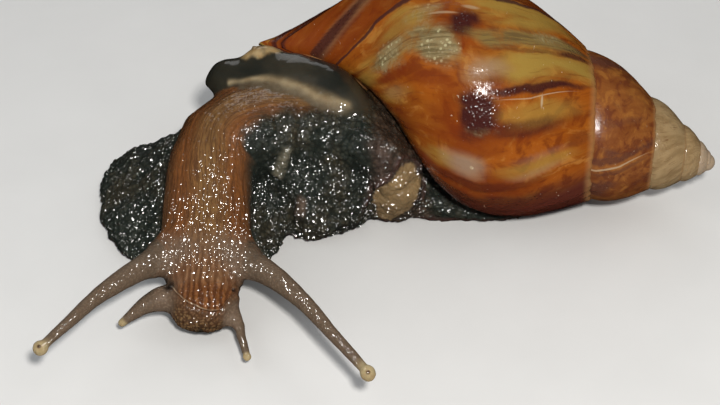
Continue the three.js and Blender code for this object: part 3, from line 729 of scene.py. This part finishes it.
for place, radius in ROOTS:
    add_ball(place, radius, 24, 16)
for side_name, line in LOWER_FEELERS.items():
    balls = 18
    taper = np.interp(np.linspace(0, 1, balls), np.linspace(0, 1, 4), LOWER_RADII[side_name])
    for place, radius in zip(smooth_through(line, balls), taper):
        add_ball(place, radius, 20, 12)
lobe_place, lobe_radii = AMBER_LOBE
add_ball(lobe_place, 1, 32, 20, lobe_radii)
bmesh.ops.remove_doubles(flesh_shape, verts=flesh_shape.verts, dist=0.002 * MM)
flesh_shape.normal_update()
swelled = [(v, v.co + v.normal * min(v.calc_shell_factor(), 1.6) * SWELL * MM) for v in flesh_shape.verts]
for corner, place in swelled:
    corner.co = place
    corner.co.z = max(corner.co.z, 0)
skin = piece_of(flesh_shape, "snail_skin")
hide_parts(*FLESH)
wrap = skin.modifiers.new("wrap", "REMESH")
wrap.mode = "VOXEL"
wrap.voxel_size = VOXEL * MM
settle(skin)
print("skin net:", len(skin.data.vertices), "corners,", len(skin.data.polygons), "faces")

# %% [markdown]
# Such a fine net is only needed where the detail is: the head, the neck and
# the near side. A decimate modifier, held off those parts by a vertex group,
# thins the net on the sole, inside the shell and on the far side.

# %% Thin the net where nothing shows
mesh = skin.data
where = numbers(mesh.vertices, "co", 3) / MM
facing_away = numbers(mesh.vertices, "normal", 3) @ np.array(sight)
plain = np.maximum.reduce([
    ease(0.0, 0.35, facing_away), ease(9, 16, where[:, 1]), ease(0.8, 0.3, where[:, 2]),
    ease(34, 38, where[:, 0]),
])
group = skin.vertex_groups.new(name="plain")
for level in range(1, 11):
    chosen = np.flatnonzero(np.round(plain * 10) == level)
    group.add(chosen.tolist(), level / 10, "REPLACE")
thin = skin.modifiers.new("thin", "DECIMATE")
thin.vertex_group, thin.vertex_group_factor = "plain", 1000
thin.ratio = SKIN_KEPT
settle(skin)
skin.vertex_groups.clear()
print("skin net, thinned:", len(skin.data.vertices), "corners,", len(skin.data.polygons), "faces")

# %% [markdown]
# ### Relaxing and measuring the skin
#
# To wrinkle skin in the right direction, each corner has to know where it is
# on the animal: how far along the neck, how far round from the middle of the
# back, and how near it is to each part that CAD named. These are worked out
# once, as arrays, and everything after this uses them.

# %% Relax the net
mesh = skin.data
where = numbers(mesh.vertices, "co", 3) / MM
links = np.zeros(len(mesh.edges) * 2, np.int32)
mesh.edges.foreach_get("vertices", links)
links = links.reshape(-1, 2)
neighbours = np.bincount(links.ravel(), minlength=len(where))[:, None]


def around(values):
    """The mean of the neighbours of each corner."""
    total = np.stack([
        np.bincount(links[:, 0], values[links[:, 1], k], len(values))
        + np.bincount(links[:, 1], values[links[:, 0], k], len(values))
        for k in range(values.shape[1])
    ], 1)
    return total / neighbours


def relax(places, rounds):
    """Draws each corner halfway to the mean of its neighbours, again and again."""
    for _ in range(rounds):
        places = places + (around(places) - places) * 0.5
    return places


def relax_by(share, places, rounds):
    """The same, but each corner goes only that share of the way."""
    return places + (relax(places, rounds) - places) * share


def outward(places):
    """The direction away from the flesh at each corner."""
    mesh.vertices.foreach_set("co", (places * MM).astype(np.float32).ravel())
    mesh.update()
    return numbers(mesh.vertices, "normal", 3)


sole = where[:, 2] < 0.05
where = relax(where, 34)
where[:, 2] = np.where(sole, 0, np.maximum(where[:, 2], 0))
print("relaxed; sole corners:", int(sole.sum()))


# %% Follow a line of points
def along_line(points, places):
    """For each place: how far along the line its nearest point is, from 0 to 1,
    that nearest point, and the distance to it."""
    points = np.array(points)
    best = np.full(len(places), np.inf)
    share, nearest = np.zeros(len(places)), np.zeros((len(places), 3))
    for k, (a, b) in enumerate(zip(points[:-1], points[1:])):
        step = b - a
        part = np.clip((places - a) @ step / (step @ step), 0, 1)
        foot = a + part[:, None] * step
        off = np.linalg.norm(places - foot, axis=1)
        closer = off < best
        best[closer], nearest[closer] = off[closer], foot[closer]
        share[closer] = (k + part[closer]) / (len(points) - 1)
    return share, nearest, best


# %% Draw in the cheeks
for place, radius, push in CHEEKS:
    drawn = bell(np.linalg.norm(where - place, axis=1), radius)[:, None]
    where = relax_by(drawn, where + drawn * push, 24)
print("cheeks drawn in at", len(CHEEKS), "places")

# %% Round the feelers
# Corners near a feeler's line are moved out to its true radius, which the
# coarse net only roughly has. Each one ends in a round bulb. The film on them
# leans along the feeler, so that a line of light runs down each.
feeler, tip_share, root = np.zeros((3, len(where)))
lean = np.zeros((len(where), 3))  # how far the film on the grains leans from the skin under it
for lines, bulb in ((UPPER_FEELERS, UPPER_BULB), (LOWER_FEELERS, LOWER_BULB)):
    for side_name, line in lines.items():
        radii = UPPER_RADII if lines is UPPER_FEELERS else LOWER_RADII[side_name]
        path = smooth_through(line, PATH_STEPS)
        length = np.linalg.norm(np.diff(path, axis=0), axis=1).sum()
        near = np.flatnonzero(np.linalg.norm(where - path.mean(0), axis=1) < length * 0.62 + 3)
        share, foot, off = along_line(path, where[near])
        wanted = np.interp(share, np.linspace(0, 1, len(radii)), radii)
        from_tip = np.linalg.norm(foot - path[-1], axis=1)
        ball = np.sqrt(np.maximum(bulb ** 2 - from_tip ** 2, 0))
        wanted = (wanted ** 5 + ball ** 5) ** 0.2
        hold = ease(0.12, 0.4, share) * (1 - ease(wanted + 0.7, wanted + 1.3, off))
        reach = foot + (where[near] - foot) * (wanted / np.maximum(off, 1e-3))[:, None]
        where[near] += (reach - where[near]) * hold[:, None]
        covered = ease(0.1, 0.4, share) * (1 - ease(wanted + 0.8, wanted + 1.8, off))
        feeler[near] = np.maximum(feeler[near], covered)
        tip_share[near] = np.maximum(tip_share[near], hold * share)
        heading = np.gradient(path, axis=0)[np.round(share * (PATH_STEPS - 1)).astype(int)]
        heading /= np.linalg.norm(heading, axis=1)[:, None]
        along_it = heading @ TO_LAMP
        lean[near] += heading * (feeler[near] * along_it / np.sqrt(1 - along_it ** 2))[:, None]
        root[near] = np.maximum(root[near], 1 - ease(wanted * 0.8, wanted * 1.1 + 2.2, off))
where = where + (relax(where, 6) - where) * (1 - ease(0.0, 0.5, feeler))[:, None] * 0.8
print("corners on feelers:", int((feeler > 0.5).sum()))

# %% Measure the neck
path = smooth_through(NECK, 90)
share, foot, off = along_line(path[:, :3], where)
at = share * (len(path) - 1)
wide, high = (np.interp(at, np.arange(len(path)), path[:, k]) for k in (3, 4))
steps = np.gradient(path[:, :3], axis=0)
lengths = np.concatenate([[0], np.cumsum(np.linalg.norm(np.diff(path[:, :3], axis=0), axis=1))])
forward = np.stack([np.interp(at, np.arange(len(path)), steps[:, k]) for k in range(3)], 1)
forward /= np.linalg.norm(forward, axis=1)[:, None]
side = np.cross([0, 0, 1], forward)
side /= np.linalg.norm(side, axis=1)[:, None]
back = np.cross(forward, side)
offset = where - foot
on_side, on_back = (offset * side).sum(1), (offset * back).sum(1)
across = np.arctan2(on_side / wide, on_back / high) * (wide + high) / 2
along = np.interp(at, np.arange(len(path)), lengths)
neck_ratio = np.hypot(on_side / wide, on_back / high)
print("neck length, mm:", round(lengths[-1], 1))


# %% Measure the distance to each part
def distance_to(*names):
    """How far each corner of the skin is from those CAD nodes, in mm."""
    shape = bmesh.new()
    for name in names:
        shape.from_mesh(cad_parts[name].data)
    tree = BVHTree.FromBMesh(shape)
    shape.free()
    return np.array([tree.find_nearest(place)[3] for place in (where * MM).tolist()]) / MM


PARTS = {
    "neck": ("neck", "head"), "snout": ("snout",), "trunk": ("trunk",),
    "mantle": ("mantle_fold", "mantle_collar"), "edge": ("mantle_edge",), "rear": ("rear_lobe",),
    "tail": ("tail",),
    "foot": ("front_foot_left", "front_foot_right", "flank_left", "flank_right"),
}
ragged = 0.5 * lumps(where, 1.5, 31) + 0.35 * lumps(where, 0.6, 32)
near = {}
for part, names in PARTS.items():
    away = distance_to(*names) + ragged * (0.2 if part == "edge" else 0.5)
    near[part] = bell(away, 0.55) + 1e-9
total = sum(near.values())
near = {part: n / total for part, n in near.items()}
print("mean share of each part:", {part: round(float(n.mean()), 3) for part, n in near.items()})

# %% [markdown]
# ### Wrinkles and grains
#
# Snail skin is a net of grains with grooves between them. On the stretched
# neck they line up in long rows, on the snout they turn into beads, and on
# the foot they stay round. The larger ones are moved into the mesh here, so
# that they are real shape, and the finish adds the finest on top.

# %% Folds of the skin
# Each fold: its line over the skin, its height (a crease if below 0) and its
# half width. Their paths wander a little, as nothing soft runs straight.
FOLDS = {
    "front_rim": ([
        (3.6, -6, 19), (4.4, -5.9, 14.5), (3.4, -5.6, 9.3), (4.6, -7.6, 6.2), (6.2, -8, 3.5),
    ], 0.5, 0.9),
    "pale_fold": ([(7.2, -5.8, 18.4), (6.2, -6.0, 16.4), (5.4, -5.6, 13.8)], 1.0, 1.0),
    "front_crease": ([
        (8.6, -5.8, 19), (7.9, -5.8, 15.5), (7.4, -6.2, 11.2), (7.5, -7.8, 7.9), (7.6, -8.2, 3.5),
        (7.4, -8.6, 1.2),
    ], -1.0, 0.5),
    "knob": ([(9.6, -8.3, 9.6), (9.3, -8.9, 8.0), (9.2, -8.8, 6.6)], 1.0, 1.0),
    "flank_rim": ([
        (22.2, -7.8, 17), (21.6, -7, 11), (19.8, -6.6, 6), (16.4, -6.8, 1.8), (12, -8.4, 1.1),
        (8.7, -8.4, 1.3),
    ], 0.35, 0.6),
    "flank_crease": ([
        (22.4, -7.2, 21.8), (23.0, -8, 17.5), (22.9, -7, 12.5), (22.5, -5.2, 8), (22.9, -4.2, 2.5),
    ], -0.9, 0.45),
    "brown_fold": ([(23, -7.6, 21.4), (24, -8.9, 18.8), (24.2, -9.3, 16.2), (23.3, -8.6, 13.6)], 0.5, 0.8),
    "rear_rim": ([
        (23.2, -8.8, 14.0), (25.5, -9.6, 16.2), (26.2, -9.3, 17.8), (27.4, -8.2, 18.8), (29.4, -7.1, 17.9),
        (31.0, -6.0, 15.0), (31.6, -4.2, 10.7), (30.9, -5.2, 7),
    ], 0.5, 0.55),
    "edge_line": ([
        (-3.4, 6.2, 24.6), (0.1, 5.6, 25.7), (3.9, 5.2, 26.2), (7.7, 3.8, 26.1), (11.1, 2.2, 25.7),
        (14.5, 0.7, 25.1), (17.4, -0.3, 24.2),
    ], 0.25, 0.75),
    "foot_line": ([(-18, -9, 8.2), (-19.5, -3, 7.4), (-19.2, 3.5, 7.4), (-16.5, 9, 9)], -0.35, 0.7),
}
LIP_FOLD = [
    (-12.3, -30.7, 8.9), (-11.7, -31.9, 9.0), (-10.9, -33.0, 8.9), (-9.5, -34.3, 8.7), (-8.1, -35.0, 8.4),
    (-6.7, -35.5, 7.9), (-5.4, -35.4, 7.4), (-4.2, -35.2, 7.3), (-3.3, -34.5, 7.4), (-2.5, -33.2, 7.9),
    (-1.6, -30.8, 8.4),
]
# The mouth's corners are pits in the skin, and they are painted near black as shade.
MOUTH_CORNERS = [((-12.6, -30.5, 8.6), 1.05), ((-1.6, -30.9, 8.3), 0.5)]  # place and radius

# The near flank is drawn in above and spreads below, where it meets the floor.
skirt = ease(7, 11, where[:, 0]) * ease(23, 19, where[:, 0]) * ease(-2, -5, where[:, 1])
where[:, 1] += skirt * (0.9 * ease(10, 16, where[:, 2]) - 1.5 * ease(11, 4, where[:, 2]))
wandering = where + 0.32 * np.stack([lumps(where, 2.4, seed) for seed in (35, 36, 37)], 1)
from_folds = {}
for name, (line, _, half) in FOLDS.items():
    from_folds[name] = along_line(smooth_through(line, 24), wandering)[2] / half
from_lips = along_line(smooth_through(LIP_FOLD, PATH_STEPS), where)[2]
print("corners on folds:", {name: int((off < 1).sum()) for name, off in from_folds.items()})

# %% Shape the skin
on_neck = near["neck"] + near["snout"] + near["trunk"] * (1 - ease(1.1, 1.24, neck_ratio))
near_side = np.interp(along, [0, 14, 22, 30, 36], [3.0, 3.6, 5.4, 8.6, 9.6])
edge_noise = 0.7 * lumps(np.stack([along, across * 0.3, along * 0], 1), 2.2, 41)
to_edge = across + edge_noise
brown = on_neck * (1 - ease(near_side - 2.2, near_side + 1.6, to_edge)) * ease(-11.5, -9, to_edge)
foot = np.clip(near["foot"] + near["tail"] + near["rear"] + near["trunk"] * (1 - brown), 0, 1) * (1 - feeler)
mantle = near["mantle"]
snout = near["snout"] * (1 - feeler)
head = ease(46, 56, along) * on_neck * (1 - feeler)
grip = 1 - ease(0.9, 0.1, where[:, 2])  # nothing lifts off or sinks through the floor


def pebbles(places, size, seed):
    """Round lumps with sharp valleys between them, from -1 to about 1."""
    return 2.2 * np.abs(lumps(places, size, seed)) - 0.8


def up_face(y, z):
    """How far up the slope of the face a place is."""
    return y * 0.64 + z * 0.77


rows = np.stack([across + 0.5 * lumps(where, 5.0, 50), along * 0.1, along * 0], 1)
beads = np.stack([where[:, 0] * 1.1, up_face(where[:, 1], where[:, 2]) * 0.8, along * 0], 1)
relief = brown * (1 - head) * (0.085 * pebbles(rows, 0.85, 51) + 0.12 * lumps(rows, 2.2, 52))
relief += head * (0.09 * pebbles(beads, 0.95, 53) + 0.1 * lumps(rows, 1.2, 54))
relief += foot * (0.17 * pebbles(where, 1.15, 55) + 0.34 * lumps(where, 3, 56) + 0.45 * lumps(where, 6.5, 57))
relief += mantle * 0.3 * lumps(where, 6.0, 58) + near["edge"] * 0.1 * lumps(where, 2.5, 59)
relief += feeler * 0.03 * lumps(where, 0.8, 60)
for name, (_, height, _) in FOLDS.items():
    relief += height * bell(from_folds[name]) * (1 - feeler)
fold_x, fold_up = zip(*[(x, up_face(y, z)) for x, y, z in LIP_FOLD])
above_fold = up_face(where[:, 1], where[:, 2]) - np.interp(where[:, 0], fold_x, fold_up)
upper_lip, lower_lip = bell(above_fold - 0.9, 0.8), bell(above_fold + 1.1, 0.7)
relief -= 0.45 * bell(from_lips, 0.34) * (1 - feeler)
relief += snout * 0.3 * upper_lip + snout * 0.15 * lower_lip
off_corners = [np.linalg.norm(where - corner, axis=1) / radius for corner, radius in MOUTH_CORNERS]
for off in off_corners:
    relief -= 0.4 * bell(off)
rounded = np.maximum(0.9 * near["mantle"], near["snout"] * ease(6.0, 4.2, where[:, 2]))
where = relax_by(rounded[:, None], where, 60)
where = where + outward(where) * (relief * grip)[:, None]
where[:, 2] = np.where(sole, 0, np.maximum(where[:, 2], 0))
where = np.where((feeler > 0.3)[:, None], relax(where, 2), where)
normal = outward(where)
print("relief from", round(float(relief.min()), 2), "to", round(float(relief.max()), 2), "mm")

# %% Map the skin for its finish
PALE_OUTLINE = [  # of the turned-up sole at the back, as x and z
    (22.9, 12.6), (24.3, 14.4), (25.5, 15), (26.2, 16.8), (27.2, 17.9), (29.2, 17.2), (30.5, 15.2),
    (31.1, 11), (30.3, 8), (28.2, 4.4), (25.5, 1.2), (23.3, 1.8), (22.2, 7.5),
]


def inside_outline(places, outline):
    """Depth inside a flat outline, in mm, and below 0 outside it."""
    outline = np.array(outline)
    depth, crossings = np.full(len(places), np.inf), np.zeros(len(places), int)
    for a, b in zip(outline, np.roll(outline, -1, axis=0)):
        part = np.clip((places - a) @ (b - a) / ((b - a) @ (b - a)), 0, 1)
        depth = np.minimum(depth, np.linalg.norm(places - a - part[:, None] * (b - a), axis=1))
        spans = (a[1] > places[:, 1]) != (b[1] > places[:, 1])
        crossed_at = a[0] + (places[:, 1] - a[1]) * (b[0] - a[0]) / (b[1] - a[1] + 1e-12)
        crossings += spans & (places[:, 0] < crossed_at)
    return np.where(crossings % 2 == 1, depth, -depth)


uneven = 0.35 * lumps(where, 1.6, 71) + 0.15 * lumps(where, 0.6, 72)
pale_depth = inside_outline(where[:, [0, 2]], PALE_OUTLINE) + uneven
pale_sole = ease(-0.1, 0.4, pale_depth) * ease(-1.0, -2.0, where[:, 1])
pale_sole = pale_sole * ease(-0.2, 0.3, -normal[:, 1]) * (near["rear"] > 0.3)
under = ease(0.5, 0.1, where[:, 2])
flank_rim, rear_rim = (bell(from_folds[name]) for name in ("flank_rim", "rear_rim"))
rim = np.maximum(foot * ease(1.6, 0.5, where[:, 2] + uneven), np.maximum(0.9 * flank_rim, 0.8 * rear_rim))
edge_line = from_folds["edge_line"] * (0.8 + 0.8 * ease(9, -2, where[:, 0]))
off_lobe = np.linalg.norm((where - np.array(lobe_place)) / np.array(lobe_radii), axis=1)

# The film is turned towards the lamp where the skin should glint, and a
# little away from it elsewhere. It starts from the skin without its relief.
soft_normal = outward(relax(where, 12))
outward(where)
low = ease(21, 15.5, where[:, 2] + 2 * uneven)
turned = foot * (1.05 * low - 0.3) * (1 - near["tail"])
turned += brown * (-0.3 + 1.1 * ease(26, 47, along) - 0.75 * ease(56, 60, along))
lean += (TO_LAMP - soft_normal) * (turned * (1 - feeler))[:, None]

LAYERS = {
    "brown": brown * (1 - feeler), "mantle": mantle, "mantle_edge": near["edge"], "feeler": feeler,
    "tip": tip_share, "snout": snout, "head": head, "rear": near["rear"], "root": root,
    "pale_sole": np.maximum(pale_sole, under), "rim": rim * (1 - pale_sole),
    "pale_fold": np.exp(-(from_folds["pale_fold"] * 0.9) ** 4),
    "knob": np.exp(-(from_folds["knob"] * 0.9) ** 4),
    "brown_fold": bell(from_folds["brown_fold"] * 0.55) * (1 - pale_sole),
    "edge_line": bell(edge_line), "amber": 1 - ease(0.85, 1.15, off_lobe + 0.3 * uneven),
    "fold": np.exp(-(from_lips / 0.9) ** 4), "lips": ease(0.1, -0.5, above_fold + 0.3 * uneven),
    "above_fold": above_fold, "corner": sum(np.exp(-off ** 4) for off in off_corners),
}
out_of_face = where[:, 1] * 0.77 - where[:, 2] * 0.64
write_layer(mesh, "lean", lean)
write_layer(mesh, "path", np.stack([across, along, neck_ratio], 1))
write_layer(mesh, "face", np.stack([where[:, 0], up_face(where[:, 1], where[:, 2]), out_of_face], 1))
for name, values in LAYERS.items():
    write_layer(mesh, name, values)
print("brown share of the skin:", round(float(brown.mean()), 2))

# %% [markdown]
# ### The skin's finish
#
# Under a film of slime every grain becomes a tiny lens. The colour, the grain
# and the wetness are three separate jobs, so they are three parts of the net:
# colour first, by region; then grain height, as domes from a cell pattern;
# then a clear coat that leans its own way on every grain and catches the lamp.

# %% Skin patterns
hide = Finish("wet_skin")
path = hide.layer("path", "Vector")
face = hide.layer("face", "Vector")
mask = {name: hide.layer(name) for name in LAYERS}
spots = hide.place()
across, along, _ = hide.add("SeparateXYZ", {"Vector": path}).outputs
face_x = hide.add("SeparateXYZ", {"Vector": face}).outputs[0]
wander = hide.cloud(hide.place((0.22, 0.05, 1), path), 1.0, 2)
swayed = hide.plus(across, hide.times(wander, 2.4))


def down_the_neck(stretch):
    """Places for a pattern that the neck draws out lengthways."""
    return hide.add("CombineXYZ", {"X": swayed, "Y": hide.times(along, stretch), "Z": 0.0}).outputs[0]


def thin_lines(vector, scale, width, detail=2.0):
    """1 on thin lines that follow a noise's middle level, and 0 off them."""
    level = hide.cloud(vector, scale, detail)
    return hide.between(hide.size(hide.minus(level, 0.5)), width, 0.0)


row_path = down_the_neck(0.075)
row_lines = thin_lines(row_path, 1.25, 0.05)
fine_lines = thin_lines(row_path, 2.6, 0.07)
broad = hide.cloud(row_path, 0.3, 3)
mottle = hide.cloud(spots, 330, 4, 0.6)
haze = hide.cloud(spots, 110, 3)
neck_cells = hide.cells(down_the_neck(0.42), 1.75)
face_cells = hide.cells(hide.place((1.0, 0.82, 0.5), face), 1.15, 0.75)
lip_cells = hide.cells(hide.place((1.0, 1.1, 1.0), face), 1.8, 0.7)
foot_cells = hide.cells(spots, 1050)
fine_cells = hide.cells(spots, 2300)
grains = hide.between(foot_cells, 0.15, 0.65)
face_sway = hide.cloud(hide.place((0.35, 0.22, 0.2), face), 1.0, 3)
row_wave = hide.math("SINE", hide.plus(hide.times(face_x, 5.6), hide.times(face_sway, 11.0)))
ridge = hide.times(hide.between(row_wave, -0.7, 0.7), hide.between(face_cells, 0.75, 0.15, 0.45, 1.0))

# %% Skin colour
crown = hide.blend(ridge, (0.11, 0.048, 0.022), (0.255, 0.135, 0.07))
lips = hide.shade(lip_cells, 0.15, 0.6, (0.15, 0.078, 0.036), (0.072, 0.033, 0.014))
beads = hide.shade(lip_cells, 0.3, 0.62, (0.165, 0.095, 0.04), (0.06, 0.028, 0.012))
lips = hide.shade(mask["above_fold"], -1.2, -2.6, lips, beads)
muzzle = hide.blend(ridge, (0.078, 0.024, 0.006), (0.215, 0.08, 0.022))
muzzle = hide.blend(mask["lips"], muzzle, lips)

beside = hide.size(hide.minus(across, 0.6))  # how far to the side of the back's middle line
to_middle = hide.plus(beside, hide.times(broad, 5.0))
tan = hide.paint(
    hide.shade(to_middle, 6.6, 3.4, (0.185, 0.066, 0.017), (0.19, 0.1, 0.034)),
    (hide.between(beside, 6.2, 8.2), (0.1, 0.044, 0.016)),
    (hide.between(neck_cells, 0.25, 0.62, 0.0, 0.35), (0.085, 0.036, 0.015)),
    (hide.times(row_lines, 0.62), (0.06, 0.024, 0.01)),
    (hide.times(fine_lines, 0.32), (0.07, 0.03, 0.013)),
    (hide.times(mask["head"], 0.75), crown),
    (hide.times(mask["snout"], 0.95), muzzle),
)
grey = hide.shade(fine_cells, 0.2, 0.6, (0.17, 0.118, 0.08), (0.125, 0.084, 0.056))
greyed = hide.times(mask["root"], hide.between(mottle, 0.3, 0.7, 0.75, 0.98))
greyed = hide.most(greyed, hide.between(mask["feeler"], 0.0, 0.8))
olive = hide.blend(grains, (0.046, 0.04, 0.025), (0.02, 0.018, 0.012))
rear = hide.blend(grains, (0.075, 0.045, 0.03), (0.03, 0.02, 0.014))
bulb = hide.shade(mottle, 0.35, 0.65, (0.5, 0.4, 0.22), (0.38, 0.28, 0.14))
film = hide.shade(haze, 0.35, 0.65, (0.012, 0.013, 0.01), (0.03, 0.026, 0.017))
cream = hide.shade(mottle, 0.3, 0.7, (0.19, 0.135, 0.072), (0.275, 0.215, 0.125))
under_edge = hide.shade(mottle, 0.3, 0.7, (0.085, 0.062, 0.036), (0.125, 0.096, 0.06))
amber = hide.shade(mottle, 0.3, 0.62, (0.26, 0.145, 0.045), (0.36, 0.26, 0.13))
sole_tone = hide.shade(haze, 0.35, 0.65, (0.245, 0.16, 0.072), (0.15, 0.098, 0.048))
brown_fold = hide.shade(mottle, 0.38, 0.62, (0.034, 0.022, 0.017), (0.088, 0.058, 0.044))
pale_fold = hide.blend(grains, (0.155, 0.14, 0.1), (0.1, 0.092, 0.064))
knob = hide.shade(mottle, 0.38, 0.62, (0.045, 0.033, 0.024), (0.11, 0.075, 0.054))

above = hide.plus(mask["above_fold"], hide.times(hide.minus(face_sway, 0.5), 0.5))
# The lip crease is painted darker: painted shade in the groove.
crease_shade = hide.times(mask["fold"], hide.between(hide.size(above), 0.34, 0.0))
# A thin line just over the lip crease is painted pale as a highlight, strongest on the left; the film on it
# also faces the lamp.
meniscus_highlight = hide.times(mask["fold"], hide.between(hide.size(hide.minus(above, 0.3)), 0.24, 0.08))
meniscus_highlight = hide.times(meniscus_highlight, hide.between(face_x, -2.4, -8.5, 0.15, 1.0))
meniscus_highlight = hide.times(meniscus_highlight, hide.between(mottle, 0.36, 0.5, 0.25, 1.0))
colour = hide.paint(
    hide.blend(grains, (0.024, 0.028, 0.022), (0.011, 0.014, 0.011)),
    (hide.between(haze, 0.46, 0.66), olive),
    (hide.times(mask["rear"], 0.7), rear),
    (mask["brown"], tan),
    (greyed, grey),
    (hide.between(mask["tip"], 0.9, 0.98), bulb),
    (mask["mantle"], film),
    (mask["mantle_edge"], under_edge),
    (mask["edge_line"], cream),
    (mask["amber"], amber),
    (mask["brown_fold"], brown_fold),
    (mask["pale_sole"], sole_tone),
    (mask["pale_fold"], pale_fold),
    (mask["knob"], knob),
    (hide.times(mask["rim"], 0.75), (0.062, 0.026, 0.022)),
    # painted shade in the lip crease
    (hide.times(crease_shade, 0.6), (0.05, 0.02, 0.01)),
    # painted highlight along the wet line over the lips
    (hide.times(meniscus_highlight, 0.8), (0.46, 0.34, 0.22)),
    # painted shade: the mouth's corner pits are painted near black
    (mask["corner"], (0.008, 0.005, 0.004)),
)
print("skin colours:", len(hide.tree.nodes), "nodes so far")


# %% Skin grain
def pick(share, a, b):
    """a where share is 0 and b where it is 1, for numbers."""
    return hide.plus(hide.times(a, hide.minus(1.0, share)), hide.times(b, share))


smooth = hide.most(mask["mantle"], hide.most(mask["mantle_edge"], mask["pale_sole"]))
on_feeler = hide.between(mask["feeler"], 0.1, 0.7)
neck_dome = hide.times(hide.domes(neck_cells, 0.62), 0.75)
face_dome = pick(mask["snout"], hide.domes(face_cells), hide.domes(lip_cells))
dome = pick(mask["brown"], hide.domes(foot_cells, 0.62), pick(mask["head"], neck_dome, face_dome))
dome = pick(on_feeler, dome, hide.times(hide.domes(hide.cells(spots, 1500)), 0.55))
dome = hide.times(dome, hide.minus(1.0, smooth))
grooves = hide.times(mask["brown"], hide.most(row_lines, hide.times(fine_lines, 0.5)))
height = hide.plus(dome, hide.times(hide.domes(fine_cells, 0.62), 0.15))
height = hide.minus(height, hide.times(grooves, 0.5))
height = hide.plus(height, hide.times(hide.times(ridge, 0.9), mask["head"]))
grain = hide.bump(height, 0.11 * MM, 0.9)


# %% Wet film on the skin
def facets(scale, tilt, curve):
    """How a wet film over grains leans: in each cell of a pattern it leans its
    own way by up to tilt, and bulges like a ball of 1 / curve in radius."""
    cell = hide.add("TexVoronoi", {"Vector": spots, "Scale": scale})
    lean = hide.vector("MULTIPLY_ADD", cell.outputs["Color"], (2 * tilt,) * 3, (-tilt,) * 3)
    bulge = hide.vector("SUBTRACT", spots, cell.outputs["Position"])
    return hide.vector("MULTIPLY_ADD", bulge, (curve,) * 3, lean)


coarse = hide.between(hide.cloud(spots, 460, 2), 0.47, 0.53)
foot_film = hide.blend(coarse, facets(1850, 0.34, 850), facets(1250, 0.34, 520))
neck_film = hide.blend(coarse, facets(2300, 0.28, 800), facets(1600, 0.28, 500))
feeler_film = hide.blend(coarse, facets(2000, 0.4, 900), facets(1500, 0.4, 560))
film_tilt = hide.paint(
    foot_film, (mask["brown"], neck_film), (on_feeler, feeler_film), (smooth, facets(520, 0.07, 30)),
)
film_tilt = hide.vector("ADD", film_tilt, hide.layer("lean", "Vector"))
film_tilt = hide.vector("ADD", film_tilt, hide.add("NewGeometry").outputs["Normal"])
mouth_tilt = hide.vector("ADD", facets(1100, 0.05, 260), TO_LAMP_FROM_MOUTH)
wet = hide.vector("NORMALIZE", hide.blend(meniscus_highlight, film_tilt, mouth_tilt))
hide.set(
    Base_Color=colour, Roughness=hide.between(mottle, 0.3, 0.7, 0.42, 0.58), Normal=grain, Coat_Normal=wet,
    Coat_Weight=1.0, Coat_Roughness=0.12, Coat_IOR=1.45, Specular_IOR_Level=0.12,
    Subsurface_Weight=0.1, Subsurface_Scale=1.2 * MM, Subsurface_Radius=(1.0, 0.5, 0.3),
)
mesh.materials.append(hide.material)
print("skin finish:", len(hide.tree.nodes), "nodes")

# %% [markdown]
# ## The eyes
#
# A land snail's eye is a tiny dark cup under the clear skin at the very end of
# each upper feeler. It looks like a soft brown dot, not like a bead, so each
# one is a low dome that fades from its middle to its edge.

# %% Eyes
EYE_RADIUS, EYE_FLATNESS, EYE_SUNK = 0.42, 0.7, 0.03
jelly = Finish("eye_cup")
ring = jelly.layer("ring")
flecks = jelly.cloud(jelly.place(), 5200, 3)
iris = jelly.shade(flecks, 0.35, 0.65, (0.085, 0.045, 0.022), (0.13, 0.075, 0.036))
iris = jelly.shade(ring, 0.12, 0.42, (0.02, 0.012, 0.008), iris)
iris = jelly.shade(ring, 0.5, 0.95, iris, (0.34, 0.25, 0.14))
jelly.set(
    Base_Color=iris, Roughness=jelly.between(flecks, 0.3, 0.7, 0.18, 0.28), Coat_Weight=1.0,
    Coat_Roughness=0.05, Normal=jelly.bump(flecks, 0.01 * MM, 0.4),
    Subsurface_Weight=0.1, Subsurface_Scale=0.5 * MM,
)
for side_name in ("left", "right"):
    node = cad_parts[f"eye_{side_name}"]
    middle = sum((Vector(node.matrix_world @ Vector(corner)) for corner in node.bound_box), Vector()) / 8
    out_of_bulb = (middle - Vector(UPPER_FEELERS[side_name][-1]) * MM).normalized()
    outward_turn = out_of_bulb.to_track_quat("Z", "Y").to_matrix().to_4x4()
    seat = Matrix.Translation(middle - out_of_bulb * EYE_SUNK * MM) @ outward_turn
    cup = bmesh.new()
    ring_layer = cup.verts.layers.float.new("ring")
    bmesh.ops.create_uvsphere(cup, u_segments=32, v_segments=20, radius=EYE_RADIUS * MM)
    for corner in cup.verts:
        from_axis = math.hypot(corner.co.x, corner.co.y) / (EYE_RADIUS * MM)
        corner[ring_layer] = from_axis if corner.co.z > 0 else 1.0
        corner.co.z *= EYE_FLATNESS
    bmesh.ops.transform(cup, matrix=seat, verts=cup.verts)
    eye_piece = piece_of(cup, f"eye_cup_{side_name}")
    eye_piece.data.materials.append(jelly.material)
    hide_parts(f"eye_{side_name}")
    print("eye", side_name, "at, mm:", [round(v / MM, 1) for v in middle])
